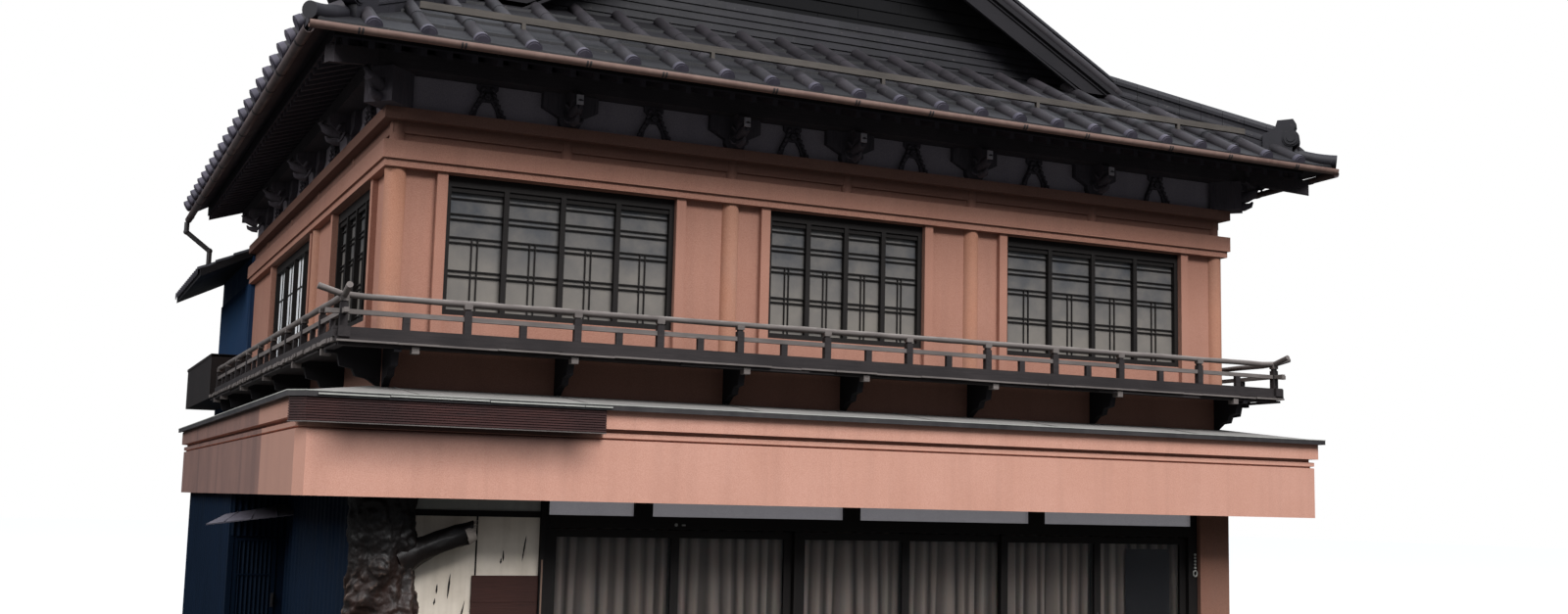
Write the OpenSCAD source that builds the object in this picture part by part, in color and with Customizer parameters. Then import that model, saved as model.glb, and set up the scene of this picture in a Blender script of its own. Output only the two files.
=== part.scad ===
/* [Plan] */
// Width between the axes of the two front corner columns
span_w = 10360; // [9900:10:11000]
// Depth between the axes of the front and rear walls
span_d = 10100; // [9600:10:10800]
// Width of each outer bay of the front, corner column to middle column
bay_outer = 3636; // [3450:6:3800]
// How far the plaster face stands outside the column axes
wall_out = 40; // [20:5:60]
// Thickness of the plastered upper walls
wall_t = 120; // [90:5:160]
// How far the sheet-clad ground floor walls stand outside the column axes
low_out = 100; // [70:5:120]

/* [Heights above the ground] */
// Thickness of the ground floor slab
slab_h = 120; // [80:10:200]
// Top of the ground floor walls, where the upper walls start
low_h = 2600; // [2500:10:2650]
// Height at which the sheet roof of the canopy meets the wall
canopy_wall_z = 3330; // [3280:5:3380]
// Top of the balcony boards
deck_z = 3800; // [3760:5:3850]
// Underside of the wide wall beam over the upper windows
beam_z = 5650; // [5500:10:5800]

/* [Ground floor front] */
// Left side of the shop front, measured from the middle of the building
shop_left = 3520; // [3300:10:3700]
// Width of the door bay with two leaves, at the left
bay_a_w = 2777; // [2600:1:2900]
// Width of the frame's post at the left end
shop_side_w = 50; // [40:5:80]
// Width of the frame's post at the right end
shop_end_w = 133; // [100:1:160]
// Height of the top of the shop glass
shop_glass_z = 1950; // [1850:10:2050]
// Height of the dark band over the glass
shop_band_h = 220; // [160:10:300]
// Middle of the middle post between the lights over the doors
light_mid = 17; // [-60:1:80]
// Spacing of those posts
light_pitch = 2460; // [2380:5:2540]
// Width of those posts
light_post_w = 190; // [150:5:220]
// Depth of the shop front frame
shop_t = 120; // [100:5:150]
// Width of the frame's post between the two bays
shop_post_w = 40; // [30:5:80]
// Width of the terracotta corner column of the ground floor
low_column_w = 450; // [400:10:480]
// Running gap round each sliding door leaf
door_gap = 8; // [6:1:12]
// Thickness of a sliding door leaf
leaf_t = 36; // [30:1:40]
// Width of the stiles of a sliding door leaf
stile_w = 90; // [70:5:110]
// Thickness of the shop glass
pane_t = 6; // [5:1:10]

/* [Trunk post] */
// Radius of the tree trunk post at breast height
trunk_r = 330; // [280:10:360]
// Radius of the cut branch stub
stub_r = 90; // [60:5:110]

/* [Upper windows] */
// Height of the window sills
sill_z = 4140; // [4080:10:4250]
// Top of the upper windows
win_top_z = 5560; // [5460:5:5565]
// Left window, from the left corner column and from the left middle column
win_a_gaps = [509, 650];
// Middle window, from the two middle columns
win_b_gaps = [460, 655];
// Right window, from the right middle column and from the right corner column
win_c_gaps = [473, 576];
// Front window of each side, from the corner column and from the side's middle column
win_side_front_gaps = [740, 1314];
// Rear window of each side, from the side's middle column, and its length
win_side_rear_place = [286, 3320];
// Width of the plaster-clad jambs beside the windows
jamb_w = 107; // [80:1:140]
// How far the jambs stand outside the column axes
jamb_out = 100; // [80:5:115]
// Depth of the dark sash frames
sash_t = 60; // [45:5:80]
// Width of the outer members of a sash frame
sash_w = 55; // [40:5:80]

/* [Columns and wall beams] */
// Radius of the round columns
column_r = 108; // [95:1:118]
// Height of the wide wall beam
beam_h = 183; // [150:1:220]
// How far the wide wall beam stands outside the column axes
beam_out = 163; // [150:1:180]
// Height of the thin trim under the wide wall beam
trim_h = 77; // [50:1:90]
// How far that trim stands outside the column axes
trim_out = 135; // [120:1:145]
// Height of the short posts between the wall beam and the plate
frieze_h = 218; // [180:2:260]
// Height of the raised band under the plate, between the short posts
frieze_band_h = 118; // [90:2:150]
// How far that band stands proud of the wall
frieze_band_t = 20; // [12:1:30]
// Radius of the short posts
frieze_post_r = 78; // [60:2:90]
// Height of the plate that carries the brackets
plate_h = 120; // [90:5:150]
// How far the plate stands outside the column axes
plate_out = 165; // [150:5:190]
// Height of the bracket zone
bracket_h = 359; // [320:1:400]
// Thickness of the carved struts between the bracket sets
frog_leg_t = 45; // [35:1:60]
// Height of the eave purlin over the brackets
purlin_h = 170; // [140:5:200]
// How far the eave purlin stands outside the column axes
purlin_out = 300; // [260:5:340]

/* [Balcony] */
// How far the balcony boards reach outside the column axes
deck_out = 600; // [560:5:640]
// Thickness of the balcony boards
deck_t = 40; // [30:2:50]
// Side of the square joists under the balcony
joist_w = 70; // [55:5:90]
// Height of the base rail of the balustrade
base_rail_h = 100; // [80:5:120]
// Height of the middle rail above the boards
mid_rail_z = 250; // [220:5:280]
// Height of the top rail above the boards
top_rail_z = 400; // [370:5:430]
// Radius of the round top rail
top_rail_r = 26; // [20:1:32]
// How far the balustrade stands outside the column axes
rail_out = 520; // [490:5:540]

/* [Canopy] */
// How far the fascia stands outside the column axes at the front
fascia_front = 763; // [720:1:800]
// How far the fascia stands outside the column axes at the sides
fascia_side = 923; // [880:1:960]
// Thickness of the fascia
fascia_t = 110; // [80:5:140]
// Underside of the fascia
fascia_z = 2310; // [2260:5:2360]
// Top of the fascia
fascia_top_z = 3220; // [3180:5:3240]
// Height of the raised band along the top of the fascia
band_h = 210; // [180:5:240]
// How far the raised band stands proud
band_out = 35; // [20:1:45]
// Height of the groove under the band
groove_h = 60; // [45:1:80]
// Depth of that groove
groove_d = 30; // [15:1:40]
// How far the sheet roof stands out past the fascia
canopy_lip = 90; // [60:5:120]
// Thickness of the sheet roof with its boarding
canopy_t = 40; // [30:1:50]
// Length of the dark board round the left end of the fascia
dark_board_l = 3010; // [2800:10:3200]
// Height of the dark board
dark_board_h = 235; // [200:5:260]

/* [Roof] */
// Rise of the roof for each unit of run
roof_slope = 0.55; // [0.5:0.01:0.6]
// Rise of the eave rafters for each unit of run
rafter_slope = 0.326; // [0.28:0.002:0.36]
// How far the roof edge stands outside the column axes
eave_out = 1040; // [1000:5:1080]
// Height of the tiled surface at the roof edge
eave_z = 6665; // [6660:1:6700]
// Upright thickness of the roof, from the boards to the tiled surface
roof_t = 110; // [90:2:130]
// Depth of the eave rafters
rafter_h = 70; // [55:1:80]
// Width of the eave rafters
rafter_w = 60; // [45:1:75]
// Spacing of the eave rafters
rafter_step = 250; // [220:5:320]
// How far the boards over the rafters reach outside the column axes
soffit_out = 800; // [760:5:840]
// How far the rafters' ends stay behind the edge of those boards
rafter_set_back = 20; // [10:2:40]
// Width of the beam under each hip
hip_rafter_w = 110; // [90:5:130]
// Depth of the beam under each hip
hip_rafter_h = 170; // [140:5:190]
// Thickness of the boards over the rafters
soffit_t = 20; // [15:1:25]
// Distance from the front axis back to the gable wall
gable_y = 1090; // [1040:5:1160]
// Distance from the front axis back to the front edge of the gable roof
verge_y = 760; // [720:5:800]
// How far the roof reaches past the rear axis
rear_out = 170; // [150:5:220]
// Thickness of the barge boards
barge_t = 60; // [45:5:75]
// Upright depth of the barge boards
barge_h = 430; // [380:5:480]
// Height of the ridge over the roof surface
ridge_h = 420; // [360:10:480]
// Width of the ridge
ridge_w = 260; // [220:10:300]
// Height of the hip ridges over the roof surface
hip_h = 300; // [240:10:340]
// Width of the hip ridges
hip_w = 200; // [160:10:240]
// Radius of the round tile ribs
rib_r = 78; // [70:1:84]
// Number of round tile ribs on the front slope
rib_n = 23; // [21:2:25]
// Spacing of the round tile ribs
rib_pitch = 515; // [490:1:530]
// Height of the front gutter's rim
gutter_z = 6645; // [6620:1:6664]
// Height of the side gutters' rims at the front axis
side_gutter_z = 6590; // [6540:1:6600]
// Fall of the left gutter for each unit of its run
left_fall = 0.006; // [0:0.001:0.02]
// Fall of the right gutter for each unit of its run
right_fall = 0.02; // [0:0.001:0.025]
// Spacing of the straps that carry the side gutters
hanger_step = 1200; // [900:50:1500]
// Radius of the downpipe
pipe_r = 38; // [30:1:45]
// Width that one rolled tile covers on the side slopes
tile_pitch = 267; // [240:1:300]
// Height of the rolls of those tiles
roll_h = 36; // [28:1:44]
// Outer radius of the half-round gutters
gutter_r = 60; // [50:1:66]

/* [Rear wing] */
// Width of the two-storey rear wing
wing_w = 4000; // [3600:50:4400]
// Depth of the rear wing
wing_d = 3900; // [3600:50:4200]
// Height of the tiled surface at the wing's roof edge
wing_eave_z = 5750; // [5700:10:5800]
// How far the wing's roof reaches past its side walls
wing_eave = 760; // [700:10:800]
// Rise of the wing's roof for each unit of run
wing_slope = 0.5; // [0.45:0.01:0.52]

/* [Side annex] */
// Distance from the front axis back to the annex front
annex_y = 5000; // [4800:10:5200]
// How far the annex stands outside the column axes
annex_out = 780; // [740:5:800]
// Width of the sheet-clad side door
side_door_w = 520; // [480:5:540]
// Height of the side door
side_door_h = 1780; // [1700:10:1850]

/* [Hidden] */
$fn = 32;

half_w = span_w/2;
inner = wall_t - wall_out;                      // inner face of the upper walls, inside the axes
mid_x = half_w - bay_outer;                     // axis of the middle columns
mitre_gap = 0.4;                                // joint where two runs meet at a corner
mitre_over = 50;                                // how far a mitre's cut goes on past the corner
seat_gap = 0.3;                                 // joint between pieces of one node that only rest together
beam_top = beam_z + beam_h;
plate_z = beam_top + frieze_h;
bracket_z = plate_z + plate_h;
purlin_z = bracket_z + bracket_h;
purlin_top = purlin_z + purlin_h;
rear_face = span_d + wall_out;                  // outer face of the rear wall
upper_floor_t = 140;
tall = 20000;                                   // higher than the whole house, for cuts and mitres
band_z = fascia_top_z - band_h;
windows_front = [
    [-half_w + win_a_gaps[0], -mid_x - win_a_gaps[1]],
    [-mid_x + win_b_gaps[0], mid_x - win_b_gaps[1]],
    [mid_x + win_c_gaps[0], half_w - win_c_gaps[1]]
];
front_posts = [-half_w, -3429, -mid_x, -118, mid_x, 3277, half_w];
side_posts = [0, 2011, 4274, 6431, 8712];
side_mid_y = side_posts[2];
windows_side = [
    [win_side_front_gaps[0], side_mid_y - win_side_front_gaps[1]],
    [side_mid_y + win_side_rear_place[0], side_mid_y + win_side_rear_place[0] + win_side_rear_place[1]]
];

// A block between two corners
module block(lo, hi) {
    translate(lo) cube(hi - lo);
}

// A run along the front: the profile's x is the distance out from the column axes, its y the height.
// Its ends are mitred at 45 degrees from the corner that the front reach and the side reach make.
module front_run(reach, side_reach = 0, inside = 300) {
    side = side_reach == 0 ? reach : side_reach;
    intersection() {
        translate([-half_w - side - mitre_over, 0, 0]) rotate([90, 0, 90])
            linear_extrude(span_w + 2*side + 2*mitre_over) mirror([1, 0]) children();
        front_mitre(reach, side, inside);
    }
}

module front_mitre(reach, side, inside) {
    x1 = half_w + side - mitre_gap;
    x2 = x1 - reach - inside;
    e = mitre_over;
    linear_extrude(tall)
        polygon([[-x1 - e, -reach - e], [x1 + e, -reach - e], [x2, inside], [-x2, inside]]);
}

// The same run along one side, back to the given rear end
module side_run(reach, rear, side_reach = 0, inside = 300) {
    side = side_reach == 0 ? reach : side_reach;
    intersection() {
        translate([half_w, rear, 0]) rotate([90, 0, 0]) linear_extrude(rear + reach + mitre_over) children();
        side_mitre(reach, rear, side, inside);
    }
}

module side_mitre(reach, rear, side, inside) {
    x1 = half_w + side;
    x2 = x1 - reach - inside;
    e = mitre_over;
    linear_extrude(tall)
        polygon([[x2, inside], [x1 + e, -reach - e], [x1 + e, rear + e], [x2, rear + e]]);
}

module both_sides() {
    children();
    mirror([1, 0, 0]) children();
}

// A rectangular run round the front and both sides
module beam_run(inside_d, outside_d, z0, z1, rear) {
    front_run(outside_d) translate([inside_d, z0]) square([outside_d - inside_d, z1 - z0]);
    both_sides() side_run(outside_d, rear)
        translate([inside_d, z0]) square([outside_d - inside_d, z1 - z0]);
}

// Ground floor

module floor_slab() {
    color("gray") {
        block([-half_w + inner, inner, 0], [half_w - inner, span_d - inner, slab_h]);
        block([shop_left_x, shop_y, 0], [shop_right_x, inner + 1, slab_h]);
    }
}

module low_side_wall() {
    block([half_w - inner, inner, 0], [half_w + low_out, rear_face, low_h]);
}

module side_low_walls() {
    color("midnightblue") both_sides() low_side_wall();
}

module rear_low_wall() {
    color("midnightblue")
        block([-half_w + inner, span_d - inner, 0], [half_w - inner, rear_face, low_h]);
}

shop_y = -inner;                                // front face of the shop frame
shop_left_x = -shop_left;
shop_right_x = half_w + low_out - low_column_w;
shop_sill_z = slab_h + 40;
shop_head_z = shop_glass_z + stile_w;           // underside of the frame's head, over the leaves
bay_a = [shop_left_x + shop_side_w, shop_left_x + shop_side_w + bay_a_w];
bay_b = [bay_a[1] + shop_post_w, shop_right_x - shop_end_w];
leaf_a_w = (bay_a_w + stile_w)/2;               // leaves overlap by one stile
leaf_b_w = (bay_b[1] - bay_b[0] + 3*stile_w)/4;
pitch_b = leaf_b_w - stile_w;
leaf_bottom = shop_sill_z + door_gap;
kick_h = 260;                                   // solid panel at the foot of each leaf

module plaster_front_wall() {
    color("ivory") block([-half_w + trunk_r, shop_y, 0], [shop_left_x, inner, low_h]);
}

// Heights of the trunk's waist and swelling, and of the two ends of the cut branch
waist_z = 0.27*low_h;
swell_z = 0.58*low_h;
stub_z0 = 0.62*low_h;
stub_z1 = 0.77*low_h;

// The trunk of a whole tree, set as the corner post, with one cut branch
module corner_trunk_post() {
    color("saddlebrown") difference() {
        translate([-half_w + 30, -150, 0]) {
            hull() {
                cylinder(r = trunk_r*1.05, h = 30, $fn = 20);
                translate([20, 10, waist_z]) cylinder(r = trunk_r*0.88, h = 30, $fn = 20);
            }
            hull() {
                translate([20, 10, waist_z]) cylinder(r = trunk_r*0.88, h = 30, $fn = 20);
                translate([-30, 0, swell_z]) cylinder(r = trunk_r*0.95, h = 30, $fn = 20);
            }
            hull() {
                translate([-30, 0, swell_z]) cylinder(r = trunk_r*0.95, h = 30, $fn = 20);
                translate([-10, 20, low_h - 30]) cylinder(r = trunk_r*0.84, h = 30, $fn = 20);
            }
            hull() {
                translate([120, -60, stub_z0]) sphere(r = stub_r*1.3, $fn = 16);
                translate([870, -120, stub_z1]) sphere(r = stub_r, $fn = 16);
            }
        }
        block([-half_w + trunk_r, shop_y, -1], [shop_left_x, inner + 1000, low_h + 1]);
        block([-half_w - low_out, inner, -1], [-half_w + inner, span_d, low_h + 1]);
        block([-half_w, inner, -1], [half_w, span_d, slab_h]);
    }
}

module right_corner_column() {
    color("peru")
        block([shop_right_x, shop_y - 60, 0], [half_w + low_out, inner, low_h]);
}

// The dark frame of the shop front, its door bays with their rails and the row of lights on top
module shop_frame() {
    color([0.17, 0.15, 0.15]) {
        difference() {
            block([shop_left_x, shop_y, slab_h], [shop_right_x, shop_y + shop_t, low_h]);
            for (bay = [bay_a, bay_b])
                block([bay[0], shop_y - 1, shop_sill_z], [bay[1], shop_y + shop_t + 1, shop_head_z]);
            for (light = lights)
                block([light[0], shop_y - 1, shop_glass_z + shop_band_h],
                    [light[1], shop_y + shop_t + 1, low_h - 80]);
        }
        for (bay = [bay_a, bay_b])
            for (track = [0, 1])
                block([bay[0] - 1, track_y(track) + leaf_t/2 - 5, shop_sill_z - 1],
                    [bay[1] + 1, track_y(track) + leaf_t/2 + 5, leaf_bottom - seat_gap]);
    }
}

// The four lights over the doors, between broad posts
light_posts = [for (i = [-1:1]) light_mid + i*light_pitch];
lights = [
    [shop_left_x + shop_side_w, light_posts[0] - light_post_w/2],
    [light_posts[0] + light_post_w/2, light_posts[1] - light_post_w/2],
    [light_posts[1] + light_post_w/2, light_posts[2] - light_post_w/2],
    [light_posts[2] + light_post_w/2, shop_right_x - shop_side_w]
];

// Front face of a leaf on the outer track, 0, or the inner one, 1
function track_y(track) = shop_y + 14 + track*(leaf_t + door_gap);

// A glazed leaf that starts at x0, without its glass
module leaf(x0, w, track) {
    y = track_y(track);
    difference() {
        block([x0, y, leaf_bottom], [x0 + w, y + leaf_t, shop_head_z - door_gap]);
        block([x0 + stile_w, y - 1, leaf_bottom + kick_h], [x0 + w - stile_w, y + leaf_t + 1, shop_glass_z]);
    }
}

module leaf_glass(x0, w, track) {
    y = track_y(track) + (leaf_t - pane_t)/2;
    block([x0 + stile_w, y, leaf_bottom + kick_h], [x0 + w - stile_w, y + pane_t, shop_glass_z]);
}

// Left edge, width and track of the six leaves: two in the left bay, four in the right one
leaves = [
    [bay_a[0] + seat_gap, leaf_a_w, 0],
    [bay_a[1] - door_gap - leaf_a_w, leaf_a_w, 1],
    [bay_b[0] + seat_gap, leaf_b_w, 0],
    [bay_b[0] + pitch_b, leaf_b_w, 1],
    [bay_b[0] + 2*pitch_b, leaf_b_w, 0],
    [bay_b[1] - seat_gap - leaf_b_w, leaf_b_w, 1]
];
fixed_leaves = [0, 2, 5];

module one_leaf(i) {
    color([0.2, 0.17, 0.17]) leaf(leaves[i][0], leaves[i][1], leaves[i][2]);
}

module one_glass(i) {
    color([0.7, 0.75, 0.75, 0.4]) leaf_glass(leaves[i][0], leaves[i][1], leaves[i][2]);
}

module fixed_sashes() {
    for (i = fixed_leaves) one_leaf(i);
}

module shop_glass() {
    for (i = fixed_leaves) one_glass(i);
    color([0.7, 0.8, 0.85, 0.4]) for (light = lights)
        block([light[0], shop_y + shop_t/2, shop_glass_z + shop_band_h],
            [light[1], shop_y + shop_t/2 + pane_t, low_h - 80]);
}

module door_leaf_a() {
    one_leaf(1);
}

module door_glass_a() {
    one_glass(1);
}

module door_leaf_b() {
    one_leaf(3);
}

module door_glass_b() {
    one_glass(3);
}

module door_leaf_c() {
    one_leaf(4);
}

module door_glass_c() {
    one_glass(4);
}

// The drawn curtains, hung close behind the frame
curtain_y = shop_y + shop_t + seat_gap;
curtain_t = 60;
module shop_curtains() {
    color("lightgray") for (bay = [bay_a, bay_b])
        block([bay[0] - 10, curtain_y, slab_h + 60], [bay[1] + 10, curtain_y + curtain_t, shop_head_z + 40]);
}

// Side annex with its door

annex_t = 60;
annex_top = low_h;
side_door_x = half_w + annex_out - annex_t - side_door_w;
side_door_t = 30;
pivot_in = 6;                                   // pivot axis, inside the door's outer corner
pivot_x = side_door_x + side_door_w - door_gap - pivot_in;
pivot_y = annex_y + 4 + pivot_in;
pin_r = 4;

module annex_walls() {
    color("midnightblue") mirror([1, 0, 0]) {
        difference() {
            block([half_w + low_out, annex_y, 0], [half_w + annex_out, span_d, annex_top]);
            block([half_w + low_out - 1, annex_y + annex_t, -1],
                [half_w + annex_out - annex_t, span_d - annex_t, annex_top - annex_t]);
            block([side_door_x, annex_y - 1, -1],
                [side_door_x + side_door_w, annex_y + annex_t + 1, side_door_h]);
        }
        // upper pivot pin of the door
        translate([pivot_x, pivot_y, side_door_h - door_gap + seat_gap])
            cylinder(r = pin_r, h = door_gap);
    }
}

module side_door() {
    color("steelblue") mirror([1, 0, 0])
        block([side_door_x + door_gap, annex_y + 4, door_gap],
            [side_door_x + side_door_w - door_gap, annex_y + 4 + side_door_t, side_door_h - door_gap]);
}

// The small sheet lean-to over the side door, falling away from the wall
hood_l = 620;
hood_t = 25;
module door_hood() {
    x1 = half_w + annex_out + 120;
    color("slategray") mirror([1, 0, 0])
        translate([0, annex_y, 0]) rotate([90, 0, 0]) linear_extrude(hood_l) polygon([
            [half_w + low_out, side_door_h + 380], [x1, side_door_h + 130],
            [x1, side_door_h + 130 - hood_t], [half_w + low_out, side_door_h + 380 - hood_t]
        ]);
}

// Canopy

canopy_front = fascia_front + canopy_lip;
canopy_side = fascia_side + canopy_lip;
soffit_board_t = 30;

// The fascia in profile, x outwards from its own outer face
module fascia_profile(out) {
    polygon([
        [out - fascia_t, fascia_z], [out, fascia_z], [out, band_z - groove_h],
        [out - groove_d, band_z - groove_h], [out - groove_d, band_z], [out + band_out, band_z],
        [out + band_out, fascia_top_z], [out - fascia_t, fascia_top_z]
    ]);
}

module canopy_fascia() {
    color("peru") {
        front_run(canopy_front, canopy_side) fascia_profile(fascia_front);
        both_sides() side_run(canopy_front, rear_face, canopy_side) fascia_profile(fascia_side);
    }
}

module canopy_soffit() {
    color("dimgray") {
        front_run(canopy_front, canopy_side)
            translate([wall_out, low_h]) square([fascia_front - fascia_t - wall_out, soffit_board_t]);
        both_sides() side_run(canopy_front, rear_face, canopy_side)
            translate([wall_out, low_h]) square([fascia_side - fascia_t - wall_out, soffit_board_t]);
    }
}

// The sheet roof in profile, flat under the fascia's top and sloping from the wall
module canopy_profile(out, lip) {
    polygon([
        [wall_out, canopy_wall_z], [wall_out, canopy_wall_z - canopy_t - 60],
        [out - fascia_t, fascia_top_z], [lip, fascia_top_z], [lip, fascia_top_z + canopy_t]
    ]);
}

module canopy_roof() {
    color("darkslategray") {
        front_run(canopy_front, canopy_side) canopy_profile(fascia_front, canopy_front);
        both_sides() side_run(canopy_front, rear_face, canopy_side)
            canopy_profile(fascia_side, canopy_side);
    }
}

module dark_corner_board() {
    color([0.25, 0.17, 0.16]) difference() {
        block([-half_w - fascia_side - band_out - 30, -fascia_front - band_out - 30, fascia_top_z - dark_board_h],
            [-half_w - fascia_side - band_out - 30 + dark_board_l, -fascia_front + 100, fascia_top_z - 0.5]);
        block([-half_w - fascia_side - band_out, -fascia_front - band_out, 0], [half_w, tall, tall]);
    }
}

// Upper walls

module front_window_holes(grow) {
    for (w = windows_front)
        block([w[0] - grow, -400, sill_z - grow], [w[1] + grow, 400, win_top_z + grow]);
}

module side_window_holes(grow) {
    for (w = windows_side)
        block([half_w - 400, w[0] - grow, sill_z - grow], [half_w + 400, w[1] + grow, win_top_z + grow]);
}

module front_upper_wall() {
    color("peru") difference() {
        block([-half_w - wall_out, -wall_out, low_h], [half_w + wall_out, inner, purlin_top]);
        front_window_holes(0);
    }
}

module side_upper_wall() {
    difference() {
        block([half_w - inner, inner, low_h], [half_w + wall_out, span_d - inner, purlin_top]);
        side_window_holes(0);
    }
}

module side_upper_walls() {
    color("peru") both_sides() side_upper_wall();
}

module rear_upper_wall() {
    color("peru")
        block([-half_w - wall_out, span_d - inner, low_h], [half_w + wall_out, rear_face, purlin_top]);
}

module upper_floor() {
    color("burlywood")
        block([-half_w + inner, inner, deck_z - upper_floor_t], [half_w - inner, span_d - inner, deck_z]);
}

// The walls' own volume, to seat columns and posts against
module wall_volume() {
    block([-half_w - wall_out, -wall_out, 0], [half_w + wall_out, rear_face, tall]);
}

module upper_columns() {
    color("peru") difference() {
        for (x = [-half_w, -mid_x, mid_x, half_w])
            translate([x, 0, deck_z]) cylinder(r = column_r, h = beam_z - trim_h - deck_z);
        wall_volume();
    }
    color("peru") difference() {
        both_sides() translate([half_w, side_mid_y, deck_z])
            cylinder(r = column_r, h = beam_z - trim_h - deck_z);
        wall_volume();
    }
}

module window_jambs() {
    color("peru") difference() {
        union() {
            for (w = windows_front)
                for (x = [w[0] - jamb_w, w[1]])
                    block([x, -jamb_out, deck_z], [x + jamb_w, 0, beam_z - trim_h]);
            both_sides() for (w = windows_side)
                for (y = [w[0] - jamb_w, w[1]])
                    block([half_w, y, deck_z], [half_w + jamb_out, y + jamb_w, beam_z - trim_h]);
        }
        wall_volume();
    }
}

module wall_beams() {
    color("peru") {
        front_run(beam_out) wall_beam_profile();
        both_sides() side_run(beam_out, rear_face) wall_beam_profile();
    }
}

module frieze_bands() {
    color("peru") {
        front_run(beam_out) frieze_band_profile();
        both_sides() side_run(beam_out, rear_face) frieze_band_profile();
    }
}

module wall_beam_profile() {
    translate([wall_out, beam_z - trim_h]) square([trim_out - wall_out, trim_h + 1]);
    translate([wall_out, beam_z]) square([beam_out - wall_out, beam_h]);
}

// The raised band of plaster under the plate, between the short posts
module frieze_band_profile() {
    translate([wall_out, plate_z - frieze_band_h]) square([frieze_band_t, frieze_band_h]);
}

module frieze_posts() {
    color("peru") difference() {
        union() {
            for (x = front_posts)
                translate([x, 0, beam_top]) cylinder(r = frieze_post_r, h = frieze_h);
            both_sides() for (y = [for (i = [1:4]) side_posts[i]])
                translate([half_w, y, beam_top]) cylinder(r = frieze_post_r, h = frieze_h);
        }
        wall_volume();
        bands_volume();
    }
}

// The bands' own volume, grown by the joint, to seat the short posts against
module bands_volume() {
    d = frieze_band_t + seat_gap;
    block([-half_w - wall_out - d, -wall_out - d, plate_z - frieze_band_h - seat_gap],
        [half_w + wall_out + d, tall, tall]);
}

module bracket_plate() {
    color("sienna") beam_run(wall_out, plate_out, plate_z, bracket_z, rear_face);
}

// One bracket set: a bearing block, a cross arm and an outward arm with its nose
module bracket_set() {
    rotate([90, 0, 0]) translate([0, 0, wall_out]) linear_extrude(90) polygon([
        [-90, bracket_z], [90, bracket_z], [120, bracket_z + 60], [120, bracket_z + 110],
        [300, bracket_z + 200], [300, purlin_z], [-300, purlin_z], [-300, bracket_z + 200],
        [-120, bracket_z + 110], [-120, bracket_z + 60]
    ]);
    rotate([90, 0, 90]) translate([0, 0, -60]) linear_extrude(120) mirror([1, 0]) polygon([
        [wall_out, bracket_z + 110], [purlin_out - 40, bracket_z + 150], [purlin_out + 60, bracket_z + 250],
        [purlin_out + 60, purlin_z - 40], [purlin_out, purlin_z], [wall_out, purlin_z]
    ]);
}

module bracket_sets() {
    color([0.2, 0.19, 0.2]) {
        for (x = [for (i = [1:5]) front_posts[i]]) translate([x, 0, 0]) bracket_set();
        both_sides() for (y = [for (i = [1:4]) side_posts[i]])
            translate([half_w, y, 0]) rotate([0, 0, 90]) bracket_set();
        both_sides() corner_bracket();
    }
}

// A carved strut with spread legs, half way between two bracket sets
module frog_leg() {
    h = bracket_h - seat_gap;
    rotate([90, 0, 0]) translate([0, 0, wall_out]) linear_extrude(frog_leg_t) difference() {
        polygon([
            [-170, 0], [-120, 0], [-95, 0.28*h], [-45, 0.5*h], [45, 0.5*h], [95, 0.28*h], [120, 0], [170, 0],
            [150, 0.3*h], [95, 0.58*h], [70, 0.75*h], [110, 0.86*h], [110, h], [-110, h], [-110, 0.86*h],
            [-70, 0.75*h], [-95, 0.58*h], [-150, 0.3*h]
        ]);
        translate([0, 0.66*h]) circle(r = 22, $fn = 12);
    }
}

module frog_leg_struts() {
    color([0.17, 0.16, 0.17]) translate([0, 0, bracket_z]) {
        for (i = [1:len(front_posts) - 1])
            translate([(front_posts[i - 1] + front_posts[i])/2, 0, 0]) frog_leg();
        both_sides() for (i = [1:len(side_posts) - 1])
            translate([half_w, (side_posts[i - 1] + side_posts[i])/2, 0]) rotate([0, 0, 90]) frog_leg();
    }
}

module corner_bracket() {
    difference() {
        translate([half_w, 0, 0]) rotate([0, 0, 45])
            block([-160, -purlin_out*1.25, bracket_z], [160, 0, purlin_z - seat_gap]);
        wall_volume();
    }
}

module eave_purlins() {
    color([0.2, 0.19, 0.2]) {
        front_run(purlin_out) purlin_profile();
        both_sides() side_run(purlin_out, rear_face) purlin_profile();
    }
}

// The purlin's top follows the rafters that it carries
module purlin_profile() {
    polygon([
        [wall_out, purlin_z], [purlin_out, purlin_z], [purlin_out, purlin_top],
        [wall_out, purlin_top + rafter_slope*(purlin_out - wall_out)]
    ]);
}

// Upper window sashes, four leaves to a window

module sash(w, n) {
    step = (w[1] - w[0] - sash_w)/n;
    difference() {
        block([w[0], -sash_t/2, sill_z], [w[1], sash_t/2, win_top_z]);
        for (i = [0:n - 1])
            block([w[0] + sash_w + i*step, -sash_t, sill_z + sash_w],
                [w[0] + (i + 1)*step, sash_t, win_top_z - 2*sash_w]);
    }
}

// One sheet of glass closes each window, close behind its sashes
module sash_glass(w) {
    block([w[0], sash_t/2, sill_z], [w[1], sash_t/2 + pane_t, win_top_z]);
}

module place_side() {
    translate([half_w, 0, 0]) mirror([1, 0, 0]) rotate([0, 0, 90]) children();
}

module window_sashes() {
    color([0.13, 0.12, 0.12]) {
        for (w = windows_front) sash(w, 4);
        both_sides() for (w = windows_side) place_side() sash(w, 4);
    }
}

module window_glass() {
    color([0.6, 0.62, 0.62, 0.5]) {
        for (w = windows_front) sash_glass(w);
        both_sides() for (w = windows_side) place_side() mirror([0, 1, 0]) sash_glass(w);
    }
}

// Balcony

module balcony_deck() {
    color([0.32, 0.28, 0.26]) {
        front_run(deck_out) deck_profile();
        both_sides() side_run(deck_out, rear_face) deck_profile();
    }
}

module deck_profile() {
    translate([wall_out, deck_z - deck_t]) square([deck_out - wall_out, deck_t]);
}

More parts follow.
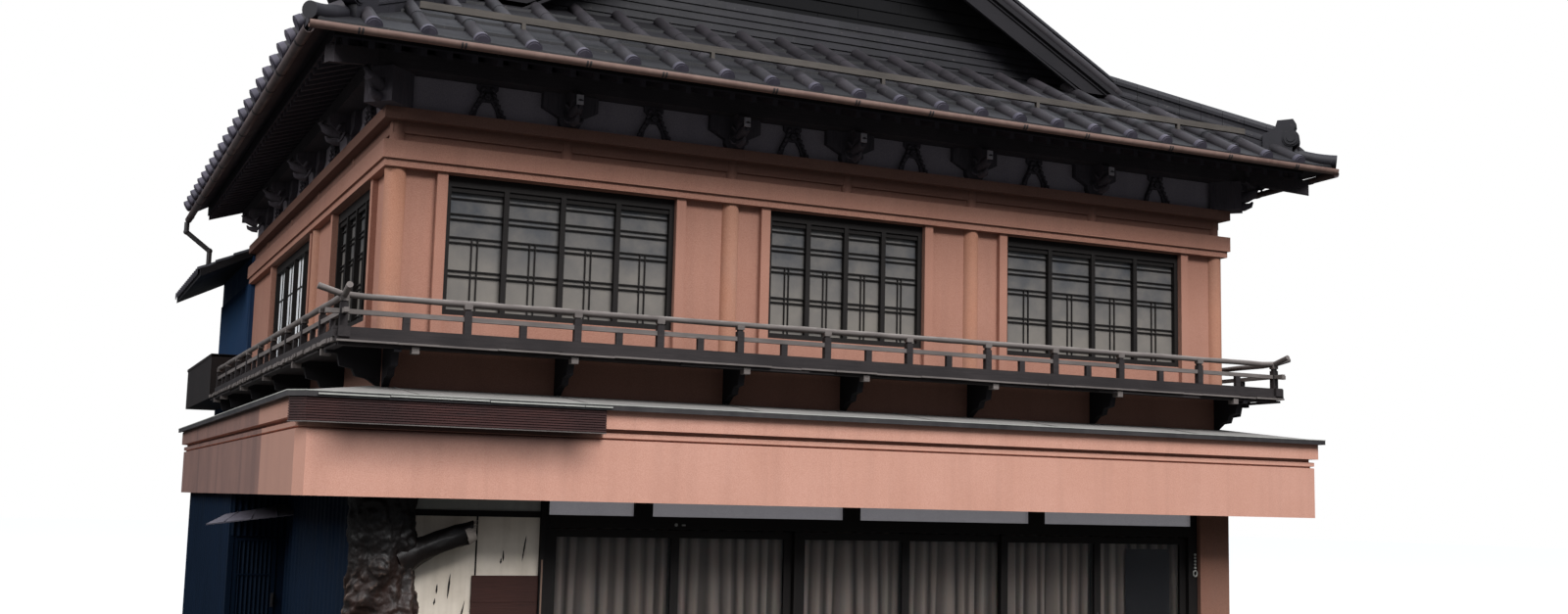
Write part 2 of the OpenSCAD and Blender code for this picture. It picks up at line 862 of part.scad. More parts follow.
// One stepped bracket under the boards, with its joist
module balcony_bracket() {
    rotate([90, 0, 90]) translate([0, 0, -joist_w/2]) linear_extrude(joist_w) mirror([1, 0]) polygon([
        [wall_out, deck_z - deck_t], [deck_out - 20, deck_z - deck_t], [deck_out - 20, deck_z - deck_t - joist_w],
        [deck_out - 130, deck_z - deck_t - joist_w], [deck_out - 160, deck_z - 230],
        [deck_out - 280, deck_z - 250], [deck_out - 310, deck_z - 320],
        [deck_out - 420, deck_z - 340], [wall_out, deck_z - 430]
    ]);
}

module balcony_brackets() {
    color([0.28, 0.24, 0.22]) {
        for (x = [for (i = [1:5]) front_posts[i]]) translate([x, 0, 0]) balcony_bracket();
        both_sides() translate([half_w - joist_w/2 + wall_out, 0, 0]) balcony_bracket();
        both_sides() for (y = [joist_w/2, for (i = [1:4]) side_posts[i], span_d - 200])
            translate([half_w, y, 0]) rotate([0, 0, 90]) balcony_bracket();
    }
}

// Tall posts of the front balustrade, and of one side balustrade measured back from the front axis
posts_front = [-half_w - rail_out, -4513, -3393, -2503, -1603, -573, 447, 1477, 2397, 3337, 4517,
    half_w + rail_out];
posts_side = [-rail_out, for (y = [650:1140:rear_face - 300]) y];
rail_over = 60;                                 // how far the base rail runs past the corner post
rail_tip = 90;                                  // how far the top rail runs past the base rail

// Rails of one straight balustrade along X, from x0 to x1, standing at y = 0
module rails(x0, x1, over) {
    block([x0 - over, -base_rail_w/2, deck_z], [x1 + over, base_rail_w/2, deck_z + base_rail_h]);
    block([x0 - over - 60, -mid_rail_w/2, deck_z + mid_rail_z - mid_rail_w/2],
        [x1 + over + 60, mid_rail_w/2, deck_z + mid_rail_z + mid_rail_w/2]);
    translate([x0 - over - rail_tip, 0, deck_z + top_rail_z]) rotate([0, 90, 0])
        cylinder(r = top_rail_r, h = x1 - x0 + 2*over + 2*rail_tip);
}

base_rail_w = 110;
mid_rail_w = 52;
tall_post_w = 64;
short_post_w = 50;

module rail_post(w, h) {
    block([-w/2, -w/2, deck_z + base_rail_h - 1], [w/2, w/2, deck_z + h]);
}

module rail_posts(xs) {
    for (x = xs) translate([x, 0, 0]) rail_post(tall_post_w, top_rail_z);
    for (i = [1:len(xs) - 1])
        translate([(xs[i - 1] + xs[i])/2, 0, 0]) rail_post(short_post_w, mid_rail_z);
}

// The ends of the side rails, which cross the front rails at the corners
module crossing_tips() {
    block([-mid_rail_w/2, -rail_over - 60, deck_z + mid_rail_z - mid_rail_w/2],
        [mid_rail_w/2, base_rail_w/2, deck_z + mid_rail_z + mid_rail_w/2]);
    translate([0, base_rail_w/2, deck_z + top_rail_z]) rotate([90, 0, 0])
        cylinder(r = top_rail_r, h = base_rail_w/2 + rail_over + rail_tip);
}

module front_balustrade() {
    color([0.36, 0.33, 0.3]) translate([0, -rail_out, 0]) {
        rails(-half_w - rail_out, half_w + rail_out, rail_over);
        rail_posts(posts_front);
        both_sides() translate([half_w + rail_out, 0, 0]) crossing_tips();
    }
}

module side_balustrades() {
    rear = rear_face - rail_over - rail_tip;
    color([0.36, 0.33, 0.3]) both_sides() difference() {
        translate([half_w + rail_out, 0, 0]) rotate([0, 0, 90]) {
            rails(-rail_out, rear, rail_over);
            rail_posts(posts_side);
        }
        block([0, -tall, 0], [tall, -rail_out + base_rail_w/2 + seat_gap, tall]);
    }
}

// Roof

function rafter_z(d) = purlin_top + rafter_slope*(purlin_out - d);
function board_z(d) = rafter_z(d) + rafter_h + soffit_t;
function roof_z(d) = eave_z + roof_slope*(eave_out - d);
ridge_z = roof_z(-half_w);

// Eave boards with the rafters that carry them, made as one piece on each side
module rafter_soffit() {
    color([0.22, 0.19, 0.18]) {
        intersection() {
            union() {
                front_run(soffit_out, 0, roof_inside) soffit_profile();
                rafters(-half_w - soffit_out, half_w + soffit_out) front_rafter();
            }
            front_mitre(soffit_out, soffit_out, roof_inside);
        }
        both_sides() intersection() {
            union() {
                side_run(soffit_out, span_d + rear_out, 0, roof_inside) soffit_profile();
                translate([half_w, 0, 0]) rotate([0, 0, 90])
                    rafters(-soffit_out, span_d + rear_out) front_rafter();
            }
            side_mitre(soffit_out, span_d + rear_out, soffit_out, roof_inside);
        }
    }
}

roof_inside = 600;                              // how far inside the axes a mitre at the eaves reaches

module rafters(x0, x1) {
    n = floor((x1 - x0 - rafter_w)/rafter_step);
    margin = (x1 - x0 - rafter_w - n*rafter_step)/2;
    for (i = [0:n]) translate([x0 + margin + i*rafter_step, 0, 0]) children();
}

module rafter_profile() {
    d1 = soffit_out - rafter_set_back;
    polygon([
        [-inner, rafter_z(-inner)], [d1, rafter_z(d1)], [d1, rafter_z(d1) + rafter_h + 1],
        [-inner, rafter_z(-inner) + rafter_h + 1]
    ]);
}

module front_rafter() {
    rotate([90, 0, 90]) linear_extrude(rafter_w) mirror([1, 0]) rafter_profile();
}

module soffit_profile() {
    polygon([
        [-inner, rafter_z(-inner) + rafter_h], [soffit_out, rafter_z(soffit_out) + rafter_h],
        [soffit_out, board_z(soffit_out)], [-inner, board_z(-inner)]
    ]);
}

// The beam under each hip, seated under the rafters outside the purlins
module hip_rafters() {
    color([0.22, 0.19, 0.18]) both_sides() difference() {
        intersection() {
            linear_extrude(tall) translate([half_w, 0]) rotate(-45)
                translate([(purlin_out + seat_gap)*sqrt(2) + hip_rafter_w/2, -hip_rafter_w/2])
                    square([(soffit_out + 40 - purlin_out)*sqrt(2) - hip_rafter_w/2, hip_rafter_w]);
            under_planes(rafter_z(0) - seat_gap, rafter_slope);
        }
        under_planes(rafter_z(0) - hip_rafter_h, rafter_slope);
    }
}

// The stacked courses at the foot of the gable, over the upper edge of the front slope
module gable_base() {
    z0 = roof_z(-gable_y);
    reach = half_w - gable_y - base_set_in;
    color([0.2, 0.19, 0.2]) difference() {
        translate([-reach, 0, 0]) rotate([90, 0, 90]) linear_extrude(2*reach) union() {
            for (i = [0:base_courses - 1])
                translate([gable_y - base_t - (i % 2)*base_lip - seat_gap, z0 - 20 + i*base_course_h])
                    square([base_t + (i % 2)*base_lip, base_course_h]);
        }
        under_front_plane(roof_z(0) + seat_gap, roof_slope);
        both_sides() over_side_slope();
        both_sides() barge_volume(seat_gap);
    }
}

base_t = 40;
base_lip = 14;                                  // every second course stands out by this much
base_course_h = 46;
base_courses = 9;
base_set_in = 60;

// Everything below the front and the side plane that have the height z0 at the axes and fall outwards
module under_planes(z0, slope) {
    intersection() {
        under_front_plane(z0, slope);
        translate([half_w, gable_y + 400, 0]) rotate([90, 0, 0]) linear_extrude(gable_y + eave_out + 800)
            polygon([
                [eave_out + 400, 0], [-half_w, 0], [-half_w, z0 + slope*half_w],
                [eave_out + 400, z0 - slope*(eave_out + 400)]
            ]);
    }
}

module under_front_plane(z0, slope) {
    translate([-half_w - eave_out, 0, 0]) rotate([90, 0, 90]) linear_extrude(span_w + 2*eave_out)
        polygon([
            [-eave_out - 400, 0], [gable_y + 400, 0], [gable_y + 400, z0 + slope*(gable_y + 400)],
            [-eave_out - 400, z0 - slope*(eave_out + 400)]
        ]);
}

// The tiled slope in profile: the tiles' edge reaches past its board, which stands on the soffit boards
module slope_profile(top_d) {
    polygon([
        [eave_out, roof_z(eave_out) - edge_t], [eave_out, roof_z(eave_out)], [top_d, roof_z(top_d)],
        [top_d, roof_z(top_d) - roof_t], [soffit_out - edge_board_t, roof_z(soffit_out - edge_board_t) - roof_t],
        [soffit_out - edge_board_t, board_z(soffit_out - edge_board_t)], [soffit_out, board_z(soffit_out)],
        [soffit_out, roof_z(soffit_out) - edge_t]
    ]);
}

edge_t = 50;                                    // upright thickness of the tiles past that board
edge_board_t = 70;

module front_roof_slope() {
    color([0.2, 0.19, 0.21]) difference() {
        intersection() {
            translate([-half_w - eave_out, 0, 0])
                rotate([90, 0, 90]) linear_extrude(span_w + 2*eave_out) mirror([1, 0]) slope_profile(-gable_y);
            linear_extrude(tall) polygon([
                [-half_w - eave_out + mitre_gap, -eave_out], [half_w + eave_out - mitre_gap, -eave_out],
                [half_w - gable_y - mitre_gap, gable_y], [-half_w + gable_y + mitre_gap, gable_y]
            ]);
        }
        both_sides() over_side_slope();
    }
}

// Everything above the underside of a side slope, behind the front edge of the gable roof
module over_side_slope() {
    translate([half_w, span_d + rear_out, 0]) rotate([90, 0, 0])
        linear_extrude(span_d + rear_out - verge_y + 1) polygon([
            [eave_out, roof_z(eave_out) - roof_t - seat_gap], [eave_out, tall], [-half_w, tall],
            [-half_w, ridge_z - roof_t - seat_gap]
        ]);
}

module side_roof_slopes() {
    rear = span_d + rear_out;
    color([0.2, 0.19, 0.21]) both_sides() {
        intersection() {
            translate([half_w, rear, 0]) rotate([90, 0, 0])
                linear_extrude(rear + eave_out) slope_profile(-half_w + mitre_gap);
            linear_extrude(tall) polygon([
                [half_w + eave_out, -eave_out], [half_w + eave_out, rear],
                [0, rear], [0, verge_y], [half_w - verge_y, verge_y]
            ]);
        }
        intersection() {
            translate([half_w + eave_out, rear, roof_z(eave_out)])
                tile_waves(rear + eave_out, half_w + eave_out, roof_slope);
            side_tile_field(rear);
        }
    }
}

// Where the side slope's tiles show: clear of the hip ridge and its end tile, the verge and the main ridge
module side_tile_field(rear) {
    near_hip = end_tile_w/2*sqrt(2) + tile_gap;
    near_verge = verge_y - barge_t + verge_w + tile_gap;
    near_ridge = ridge_w/2 + tile_gap;
    linear_extrude(tall) polygon([
        [half_w + eave_out, near_hip - eave_out], [half_w + near_hip - near_verge, near_verge],
        [near_ridge, near_verge], [near_ridge, rear], [half_w + eave_out, rear]
    ]);
}

// A field of rolled tiles that climbs towards -X: its rear lower corner is at the origin, and it is
// length long and reach deep, measured flat
module tile_waves(length, reach, slope) {
    n = floor(length/tile_pitch);
    rotate([0, 0, 90]) rotate([atan(slope), 0, 0]) rotate([-90, 0, 0])
        linear_extrude(reach/cos(atan(slope))) polygon([
            [0, tile_sink], [0, 0],
            for (i = [0:n - 1]) for (q = roll_profile)
                [-i*tile_pitch + q[0]*tile_pitch, -q[1]*roll_h],
            [-n*tile_pitch, 0], [-n*tile_pitch, tile_sink]
        ]);
}

// One roll, by share of the tile's width and of the roll's height
roll_profile = [[-0.03, 0], [-0.1, 0.75], [-0.19, 1], [-0.28, 0.75], [-0.36, 0]];
tile_sink = 8;                                  // how deep the tiles' bed reaches into the slope
tile_gap = 5;

// The boarded gable wall, between the front slope and the side slopes
gable_t = 60;
module gable_front() {
    reach = half_w - gable_y;
    drop = roof_t + seat_gap;
    color([0.23, 0.21, 0.22])
        translate([0, gable_y + gable_t, 0]) rotate([90, 0, 0]) linear_extrude(gable_t - seat_gap) polygon([
            [-reach, roof_z(-gable_y) - drop], [reach, roof_z(-gable_y) - drop], [0, ridge_z - drop]
        ]);
}

module barge_volume(grow) {
    translate([0, verge_y - 0.5 + grow, 0]) rotate([90, 0, 0]) linear_extrude(barge_t + 2*grow) polygon([
        [half_w - verge_y, roof_z(-verge_y)], [0.2, ridge_z], [0.2, ridge_z - barge_h - grow],
        [half_w - verge_y - 20, roof_z(-verge_y) - barge_h*0.7 - grow]
    ]);
}

module barge_boards() {
    color([0.2, 0.19, 0.2]) both_sides() difference() {
        barge_volume(0);
        under_front_plane(roof_z(0) + rib_r*1.15 + 1, roof_slope);
    }
}

// A hip ridge, standing astride the hip from its end tile up to the gable roof
hip_low = 650;                                  // distance out of the hip ridge's lower end
module hip_ridge() {
    difference() {
        intersection() {
            linear_extrude(tall) translate([half_w, 0]) rotate(-45)
                translate([-verge_y*sqrt(2) + hip_w, -hip_w/2])
                    square([(hip_low + verge_y)*sqrt(2) - hip_w, hip_w]);
            under_planes(roof_z(0) + hip_h, roof_slope);
        }
        under_planes(roof_z(0) + seat_gap, roof_slope);
    }
}

// The broad tile that closes the lower end of a hip ridge
end_tile_h = 400;
end_tile_w = 300;
end_tile_t = 90;
module hip_end_tile() {
    difference() {
        translate([half_w, 0]) rotate(-45) translate([hip_low*sqrt(2) + seat_gap, 0, 0])
            block([0, -end_tile_w/2, eave_z], [end_tile_t, end_tile_w/2, roof_z(hip_low) + end_tile_h]);
        under_planes(roof_z(0) + seat_gap, roof_slope);
    }
}

module roof_ridges() {
    color([0.17, 0.16, 0.18]) {
        translate([0, span_d + rear_out, 0]) rotate([90, 0, 0])
            linear_extrude(span_d + rear_out - verge_y + 60) polygon([
                [-ridge_w/2, roof_z(ridge_w/2 - half_w) + seat_gap], [0, ridge_z + seat_gap],
                [ridge_w/2, roof_z(ridge_w/2 - half_w) + seat_gap], [ridge_w/2, ridge_z + ridge_h],
                [-ridge_w/2, ridge_z + ridge_h]
            ]);
        both_sides() hip_ridge();
        both_sides() hip_end_tile();
        both_sides() verge_ridge();
        ridge_end_tile();
    }
}

// The shaped tile that closes the front end of the main ridge
module ridge_end_tile() {
    translate([0, verge_y - 0.5 - barge_t - seat_gap, ridge_z]) rotate([90, 0, 0]) linear_extrude(70) polygon([
        [-330, -170], [-300, 60], [-210, 200], [-200, 330], [-110, 460], [-60, 560], [60, 560], [110, 460],
        [200, 330], [210, 200], [300, 60], [330, -170], [180, -90], [0, -20], [-180, -90]
    ]);
}

// The bar that holds snow on the front slope, on feet that stand on the ribs
module snow_guard() {
    z = roof_z(guard_out) + rib_r*1.15 + guard_foot_h;
    color([0.3, 0.28, 0.27]) {
        block([-half_w + guard_in, -guard_out - guard_w/2, z], [half_w - guard_in, -guard_out + guard_w/2, z + guard_h]);
        for (i = [guard_first_rib:4:rib_n - 1 - guard_first_rib]) difference() {
            translate([(i - (rib_n - 1)/2)*rib_pitch, 0, 0])
                block([-20, -guard_out - guard_w/2, z - guard_foot_h - rib_r/2],
                    [20, -guard_out + guard_w/2, z + 1]);
            tile_rib((i - (rib_n - 1)/2)*rib_pitch, seat_gap);
        }
    }
}

guard_out = 640;                                // the bar's distance out from the front axis
guard_in = 20;                                  // how far its ends stay inside the corner columns' axes
guard_w = 50;
guard_h = 70;
guard_foot_h = 80;
guard_first_rib = 3;

// The raised courses along the front edge of the gable roof
verge_h = 290;
verge_w = 260;
module verge_ridge() {
    x0 = ridge_w/2 + seat_gap;
    x1 = half_w - verge_y - 40;
    translate([0, verge_y - barge_t + verge_w, 0]) rotate([90, 0, 0]) linear_extrude(verge_w) polygon([
        [x0, roof_z(x0 - half_w) + seat_gap], [x1, roof_z(x1 - half_w) + seat_gap],
        [x1, roof_z(x1 - half_w) + verge_h], [x0, roof_z(x0 - half_w) + verge_h]
    ]);
}

module tile_ribs() {
    color([0.3, 0.28, 0.3]) difference() {
        for (i = [0:rib_n - 1]) tile_rib((i - (rib_n - 1)/2)*rib_pitch, 0);
        both_sides() over_side_slope();
    }
}

// A round rib from the roof's edge up to the gable wall, or to the hip where that comes first
module tile_rib(x, grow) {
    length = min(eave_out + gable_y - base_t - base_lip - 50, half_w + eave_out - abs(x) - 330);
    translate([x, -eave_out + 20, roof_z(eave_out - 20) + seat_gap])
        rotate([atan(roof_slope), 0, 0]) rotate([-90, 0, 0])
            linear_extrude(length/cos(atan(roof_slope)))
                intersection() {
                    circle(r = rib_r + grow, $fn = 12);
                    translate([-rib_r - grow, -rib_r - grow]) square([2*rib_r + 2*grow, rib_r + grow]);
                }
}

// The rear gable wall, up to the undersides of the side slopes
module rear_gable() {
    x1 = half_w - inner - seat_gap;
    color("midnightblue") translate([0, rear_face, 0]) rotate([90, 0, 0]) linear_extrude(wall_t) polygon([
        [-x1, purlin_top], [x1, purlin_top], [x1, roof_z(-inner) - roof_t - seat_gap],
        [0, ridge_z - roof_t - seat_gap], [-x1, roof_z(-inner) - roof_t - seat_gap]
    ]);
    color("midnightblue") both_sides() rear_eave_end();
}

// The board that closes the hollow between a side slope and its soffit at the rear
module rear_eave_end() {
    x1 = soffit_out - edge_board_t - seat_gap;
    translate([half_w, span_d + rear_out, 0]) rotate([90, 0, 0]) linear_extrude(40) polygon([
        [-inner, board_z(-inner) + seat_gap], [x1, board_z(x1) + seat_gap],
        [x1, roof_z(x1) - roof_t - seat_gap], [-inner, roof_z(-inner) - roof_t - seat_gap]
    ]);
}

gutter_d = eave_out + gutter_r + seat_gap;      // distance of the gutters' middle out from the axes
gutter_t = 5;
hanger_w = 30;

module gutter_profile(rim_z) {
    translate([gutter_d, rim_z]) difference() {
        circle(r = gutter_r);
        circle(r = gutter_r - gutter_t);
        translate([-2*gutter_r, -gutter_t]) square([4*gutter_r, 2*gutter_r]);
    }
}

// A side gutter falls towards the rear and hangs on straps under the tiles' edge
module side_gutter(fall) {
    edge_z = roof_z(eave_out) - edge_t - seat_gap;
    translate([0, 0, side_gutter_z]) rotate([-atan(fall), 0, 0]) translate([0, 0, -side_gutter_z])
        side_run(gutter_d + gutter_r, span_d + rear_out, 0, 400) gutter_profile(side_gutter_z);
    for (y = [200:hanger_step:span_d])
        block([half_w + eave_out + seat_gap - 6, y, side_gutter_z - y*fall - 2*gutter_t],
            [half_w + eave_out + seat_gap + gutter_t/2, y + hanger_w, edge_z]);
}

module gutters() {
    color("rosybrown") {
        front_run(gutter_d + gutter_r, 0, 400) gutter_profile(gutter_z);
        side_gutter(right_fall);
        mirror([1, 0, 0]) side_gutter(left_fall);
    }
}

// The pipe from the left gutter's rear end down to the roof of the wing
module downpipe() {
    x = -half_w - gutter_d;
    y = span_d + rear_out - 2*pipe_r;
    top = side_gutter_z - left_fall*(y + pipe_r) - gutter_r - seat_gap;
    x2 = wing_x0 - wing_eave + 3*pipe_r;
    color("rosybrown") difference() {
        union() {
            translate([x, y, top - 150]) cylinder(r = pipe_r, h = 150);
            translate([x, y, top - 150]) sphere(r = pipe_r*1.2);
            pipe_between([x, y, top - 150], [x2, y, top - 420]);
            translate([x2, y, top - 420]) sphere(r = pipe_r*1.2);
            translate([x2, y, 0]) cylinder(r = pipe_r, h = top - 420);
        }
        wing_cut();
    }
}

module pipe_between(a, b) {
    v = b - a;
    translate(a) rotate([0, atan2(norm([v[0], v[1]]), v[2]), atan2(v[1], v[0])])
        cylinder(r = pipe_r, h = norm(v));
}

// Everything under the wing's tiles, up to a joint over their rolls
pipe_clear = roll_h/cos(atan(wing_slope)) + seat_gap;
module wing_cut() {
    translate([0, wing_rear, 0]) rotate([90, 0, 0]) linear_extrude(wing_d + wing_verge) polygon([
        [wing_x0 - wing_eave, 0], [wing_mid, 0], [wing_mid, wing_ridge_z + pipe_clear],
        [wing_x0 - wing_eave, wing_z(wing_eave) + pipe_clear]
    ]);
}

// Rear wing

wing_x0 = -half_w - low_out;
wing_x1 = wing_x0 + wing_w;
wing_rear = rear_face + wing_d;
wing_mid = (wing_x0 + wing_x1)/2;
wing_t = 110;
wing_verge = 150;                               // how far the wing's roof reaches past its rear wall
function wing_z(d) = wing_eave_z + wing_slope*(wing_eave - d);
wing_ridge_z = wing_z(-wing_w/2);

module wing_walls() {
    color("midnightblue") difference() {
        translate([0, wing_rear, 0]) rotate([90, 0, 0]) linear_extrude(wing_d) polygon([
            [wing_x0, 0], [wing_x1, 0], [wing_x1, wing_z(0) - roof_t],
            [wing_mid, wing_ridge_z - roof_t], [wing_x0, wing_z(0) - roof_t]
        ]);
        translate([0, wing_rear - wing_t, 0]) rotate([90, 0, 0]) linear_extrude(wing_d) polygon([
            [wing_x0 + wing_t, -1], [wing_x1 - wing_t, -1], [wing_x1 - wing_t, wing_z(0) + 2000],
            [wing_x0 + wing_t, wing_z(0) + 2000]
        ]);
    }
}

module wing_roof() {
    color([0.2, 0.19, 0.21])
        translate([0, wing_rear + wing_verge, 0]) rotate([90, 0, 0]) linear_extrude(wing_d + wing_verge) polygon([
            [wing_x0 - wing_eave, wing_z(wing_eave) - roof_t], [wing_mid, wing_ridge_z - roof_t],
            [wing_x1 + wing_eave, wing_z(wing_eave) - roof_t], [wing_x1 + wing_eave, wing_z(wing_eave)],
            [wing_mid, wing_ridge_z], [wing_x0 - wing_eave, wing_z(wing_eave)]
        ]);
    reach = wing_w/2 + wing_eave - ridge_w/2 - tile_gap;
    color([0.2, 0.19, 0.21]) translate([wing_mid, wing_rear + wing_verge, wing_z(wing_eave)])
        for (side = [0, 1]) mirror([side, 0, 0])
            translate([wing_w/2 + wing_eave, 0, 0]) tile_waves(wing_d + wing_verge, reach, wing_slope);
}

module wing_ridge() {
    foot_z = wing_ridge_z - wing_slope*ridge_w/2 + seat_gap;
    color([0.17, 0.16, 0.18])
        translate([wing_mid, wing_rear + wing_verge + 20, 0]) rotate([90, 0, 0])
            linear_extrude(wing_d + wing_verge + 20 - seat_gap) polygon([
                [-ridge_w/2, foot_z], [0, wing_ridge_z + seat_gap], [ridge_w/2, foot_z],
                [ridge_w/2, wing_ridge_z + 90], [ridge_w/4, wing_ridge_z + 250],
                [-ridge_w/4, wing_ridge_z + 250], [-ridge_w/2, wing_ridge_z + 90]
            ]);
}

cabinet_h = 640;
module balcony_cabinet() {
    color([0.3, 0.2, 0.15])
        block([-half_w - deck_out, rear_face + seat_gap, deck_z - deck_t],
            [wing_x0, wing_rear - 60, deck_z + cabinet_h]);
}

floor_slab();
side_low_walls();
rear_low_wall();
plaster_front_wall();
corner_trunk_post();
right_corner_column();
shop_frame();
fixed_sashes();
shop_glass();
door_leaf_a();
door_glass_a();
door_leaf_b();
door_glass_b();
door_leaf_c();
door_glass_c();
shop_curtains();
annex_walls();
side_door();
door_hood();
canopy_soffit();
canopy_fascia();
canopy_roof();
dark_corner_board();
front_upper_wall();
side_upper_walls();
rear_upper_wall();
upper_floor();
upper_columns();
window_jambs();
wall_beams();
frieze_bands();
frieze_posts();
bracket_plate();
bracket_sets();
frog_leg_struts();
eave_purlins();
window_sashes();
window_glass();
balcony_deck();
balcony_brackets();
front_balustrade();
side_balustrades();
rafter_soffit();
hip_rafters();
front_roof_slope();
side_roof_slopes();
gable_front();
gable_base();
barge_boards();
roof_ridges();
tile_ribs();
snow_guard();
rear_gable();
gutters();
downpipe();
wing_walls();
wing_roof();
wing_ridge();
balcony_cabinet();
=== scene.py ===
# %% [markdown]
# # A timber townhouse, dressed for the camera
# The CAD model gives this house its walls, roof planes, joinery and moving doors. Blender adds what the
# eye looks for: tiles, lattices, carved ends, old plaster, weathered rails. First the imported model is
# loaded as a fixed frame. Nothing in it may move.

# %% Load the imported house
import math
import random

import bmesh
import bpy
from mathutils import Matrix, Vector
from mathutils import noise as mesh_noise


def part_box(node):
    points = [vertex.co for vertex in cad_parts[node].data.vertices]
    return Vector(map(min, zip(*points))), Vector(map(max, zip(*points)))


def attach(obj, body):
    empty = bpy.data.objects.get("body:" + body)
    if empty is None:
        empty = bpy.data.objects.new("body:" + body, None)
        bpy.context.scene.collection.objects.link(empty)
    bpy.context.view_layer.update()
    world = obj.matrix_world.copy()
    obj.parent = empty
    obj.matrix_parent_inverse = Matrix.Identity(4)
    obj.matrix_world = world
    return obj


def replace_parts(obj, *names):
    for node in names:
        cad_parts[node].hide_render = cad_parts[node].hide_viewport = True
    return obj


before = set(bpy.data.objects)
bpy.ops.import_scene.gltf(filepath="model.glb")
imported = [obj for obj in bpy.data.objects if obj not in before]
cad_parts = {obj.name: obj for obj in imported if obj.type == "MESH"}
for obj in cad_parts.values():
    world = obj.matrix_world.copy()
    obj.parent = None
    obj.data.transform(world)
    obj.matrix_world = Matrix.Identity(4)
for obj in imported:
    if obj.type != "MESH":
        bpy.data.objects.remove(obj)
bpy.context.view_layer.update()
random.seed(7)

# %% [markdown]
# The camera is the one solved from the photograph: it stands in front of the left corner, a little
# above head height, and looks slightly up. Its axes are written as the columns of a rotation.

# %% The camera
CAMERA_PLACE = Vector((-8.369, -15.822, 2.314))
CAMERA_RIGHT = Vector((0.9017, -0.4317, 0.0226))
CAMERA_UP = Vector((-0.0736, -0.1020, 0.9921))
CAMERA_AHEAD = Vector((0.4260, 0.8962, 0.1238))
LENS, SENSOR_WIDTH = 36.61, 36
FARTHEST = 500

camera_data = bpy.data.cameras.new("street_camera")
camera_data.lens = LENS
camera_data.sensor_width = SENSOR_WIDTH
camera_data.clip_end = FARTHEST
camera = bpy.data.objects.new("street_camera", camera_data)
bpy.context.scene.collection.objects.link(camera)
axes = Matrix((CAMERA_RIGHT, CAMERA_UP, -CAMERA_AHEAD)).transposed()
camera.matrix_world = Matrix.Translation(CAMERA_PLACE) @ axes.to_4x4()
bpy.context.scene.camera = camera
print("camera at", [round(value, 3) for value in CAMERA_PLACE], "with a lens of", LENS, "mm")

# %% [markdown]
# Materials and the sky are trees of shader nodes. Written out node by node they are long and hard to
# read, so a few helpers add a node, fill its inputs and give back the result. Colours are written as
# they look on a screen and turned into the linear values that Blender reckons with.

# %% Small tools for node trees
def put(tree, kind, inputs=None, **settings):
    """Adds a shader node, sets its properties, and fills or links its inputs."""
    node = tree.nodes.new("ShaderNode" + kind)
    for name, value in settings.items():
        setattr(node, name, value)
    for name, value in (inputs or {}).items():
        socket = node.inputs[name]
        if isinstance(value, bpy.types.NodeSocket):
            tree.links.new(value, socket)
        else:
            socket.default_value = value
    return node


def math_node(tree, operation, first, second=0.0):
    return put(tree, "Math", {0: first, 1: second}, operation=operation).outputs[0]


def times(tree, first, second):
    return math_node(tree, "MULTIPLY", first, second)


def inverse(tree, mask):
    """1 where the mask is 0, and 0 where it is 1."""
    return math_node(tree, "SUBTRACT", 1.0, mask)


def blend_colours(tree, amount, first, second, how="MIX"):
    """Mixes two colours and returns the result's socket."""
    node = put(tree, "Mix", {0: amount, 6: first, 7: second}, data_type="RGBA", blend_type=how)
    return node.outputs[2]


def step_mask(tree, value, low, high):
    """0 below low, 1 above high, and smooth between."""
    ends = {"Value": value, "From Min": low, "From Max": high}
    return put(tree, "MapRange", ends, interpolation_type="SMOOTHSTEP").outputs[0]


def house_place(tree):
    """The X, Y and Z of a spot on the house, in its own metres."""
    return put(tree, "SeparateXYZ", {0: put(tree, "TexCoord").outputs["Object"]}).outputs


def facing(tree):
    """The X, Y and Z of the direction that the surface faces."""
    return put(tree, "SeparateXYZ", {0: put(tree, "NewGeometry").outputs["Normal"]}).outputs


def rgb(red, green, blue):
    """An sRGB colour in 0 to 255, as seen on screen, turned into Blender's linear colour."""
    def linear(channel):
        c = channel / 255
        return c / 12.92 if c <= 0.04045 else ((c + 0.055) / 1.055) ** 2.4

    return (linear(red), linear(green), linear(blue), 1.0)


# %% [markdown]
# The floor is a wide pale plane that shows as white to the camera but still takes the house's shadow.
# The world is white where the camera and glass see it, and a softer grey where it lights the house, so
# that plaster keeps its own colour. Two large lamps stand for the brighter parts of the sky.

# %% Floor, world and lamps
world = bpy.data.worlds.new("overcast_sky")
bpy.context.scene.world = world
world.use_nodes = True
sky = world.node_tree
sky.nodes.clear()
view = put(sky, "TexCoord").outputs["Generated"]
height = put(sky, "SeparateXYZ", {0: view}).outputs["Z"]
from_above = step_mask(sky, height, 0.1, 0.8)
sky_level = put(sky, "MapRange", {"Value": from_above, "To Min": 0.1, "To Max": 1.4}).outputs[0]
sky_light = put(sky, "Background", {"Color": rgb(240, 245, 255), "Strength": sky_level})
sky_seen = put(sky, "Background", {"Color": (1.0, 1.0, 1.0, 1.0), "Strength": 1.0})
rays = put(sky, "LightPath").outputs
seen_directly = math_node(sky, "MAXIMUM", rays["Is Camera Ray"], rays["Is Transmission Ray"])
sky_mix = put(sky, "MixShader", {0: seen_directly, 1: sky_light.outputs[0], 2: sky_seen.outputs[0]})
put(sky, "OutputWorld", {"Surface": sky_mix.outputs[0]})

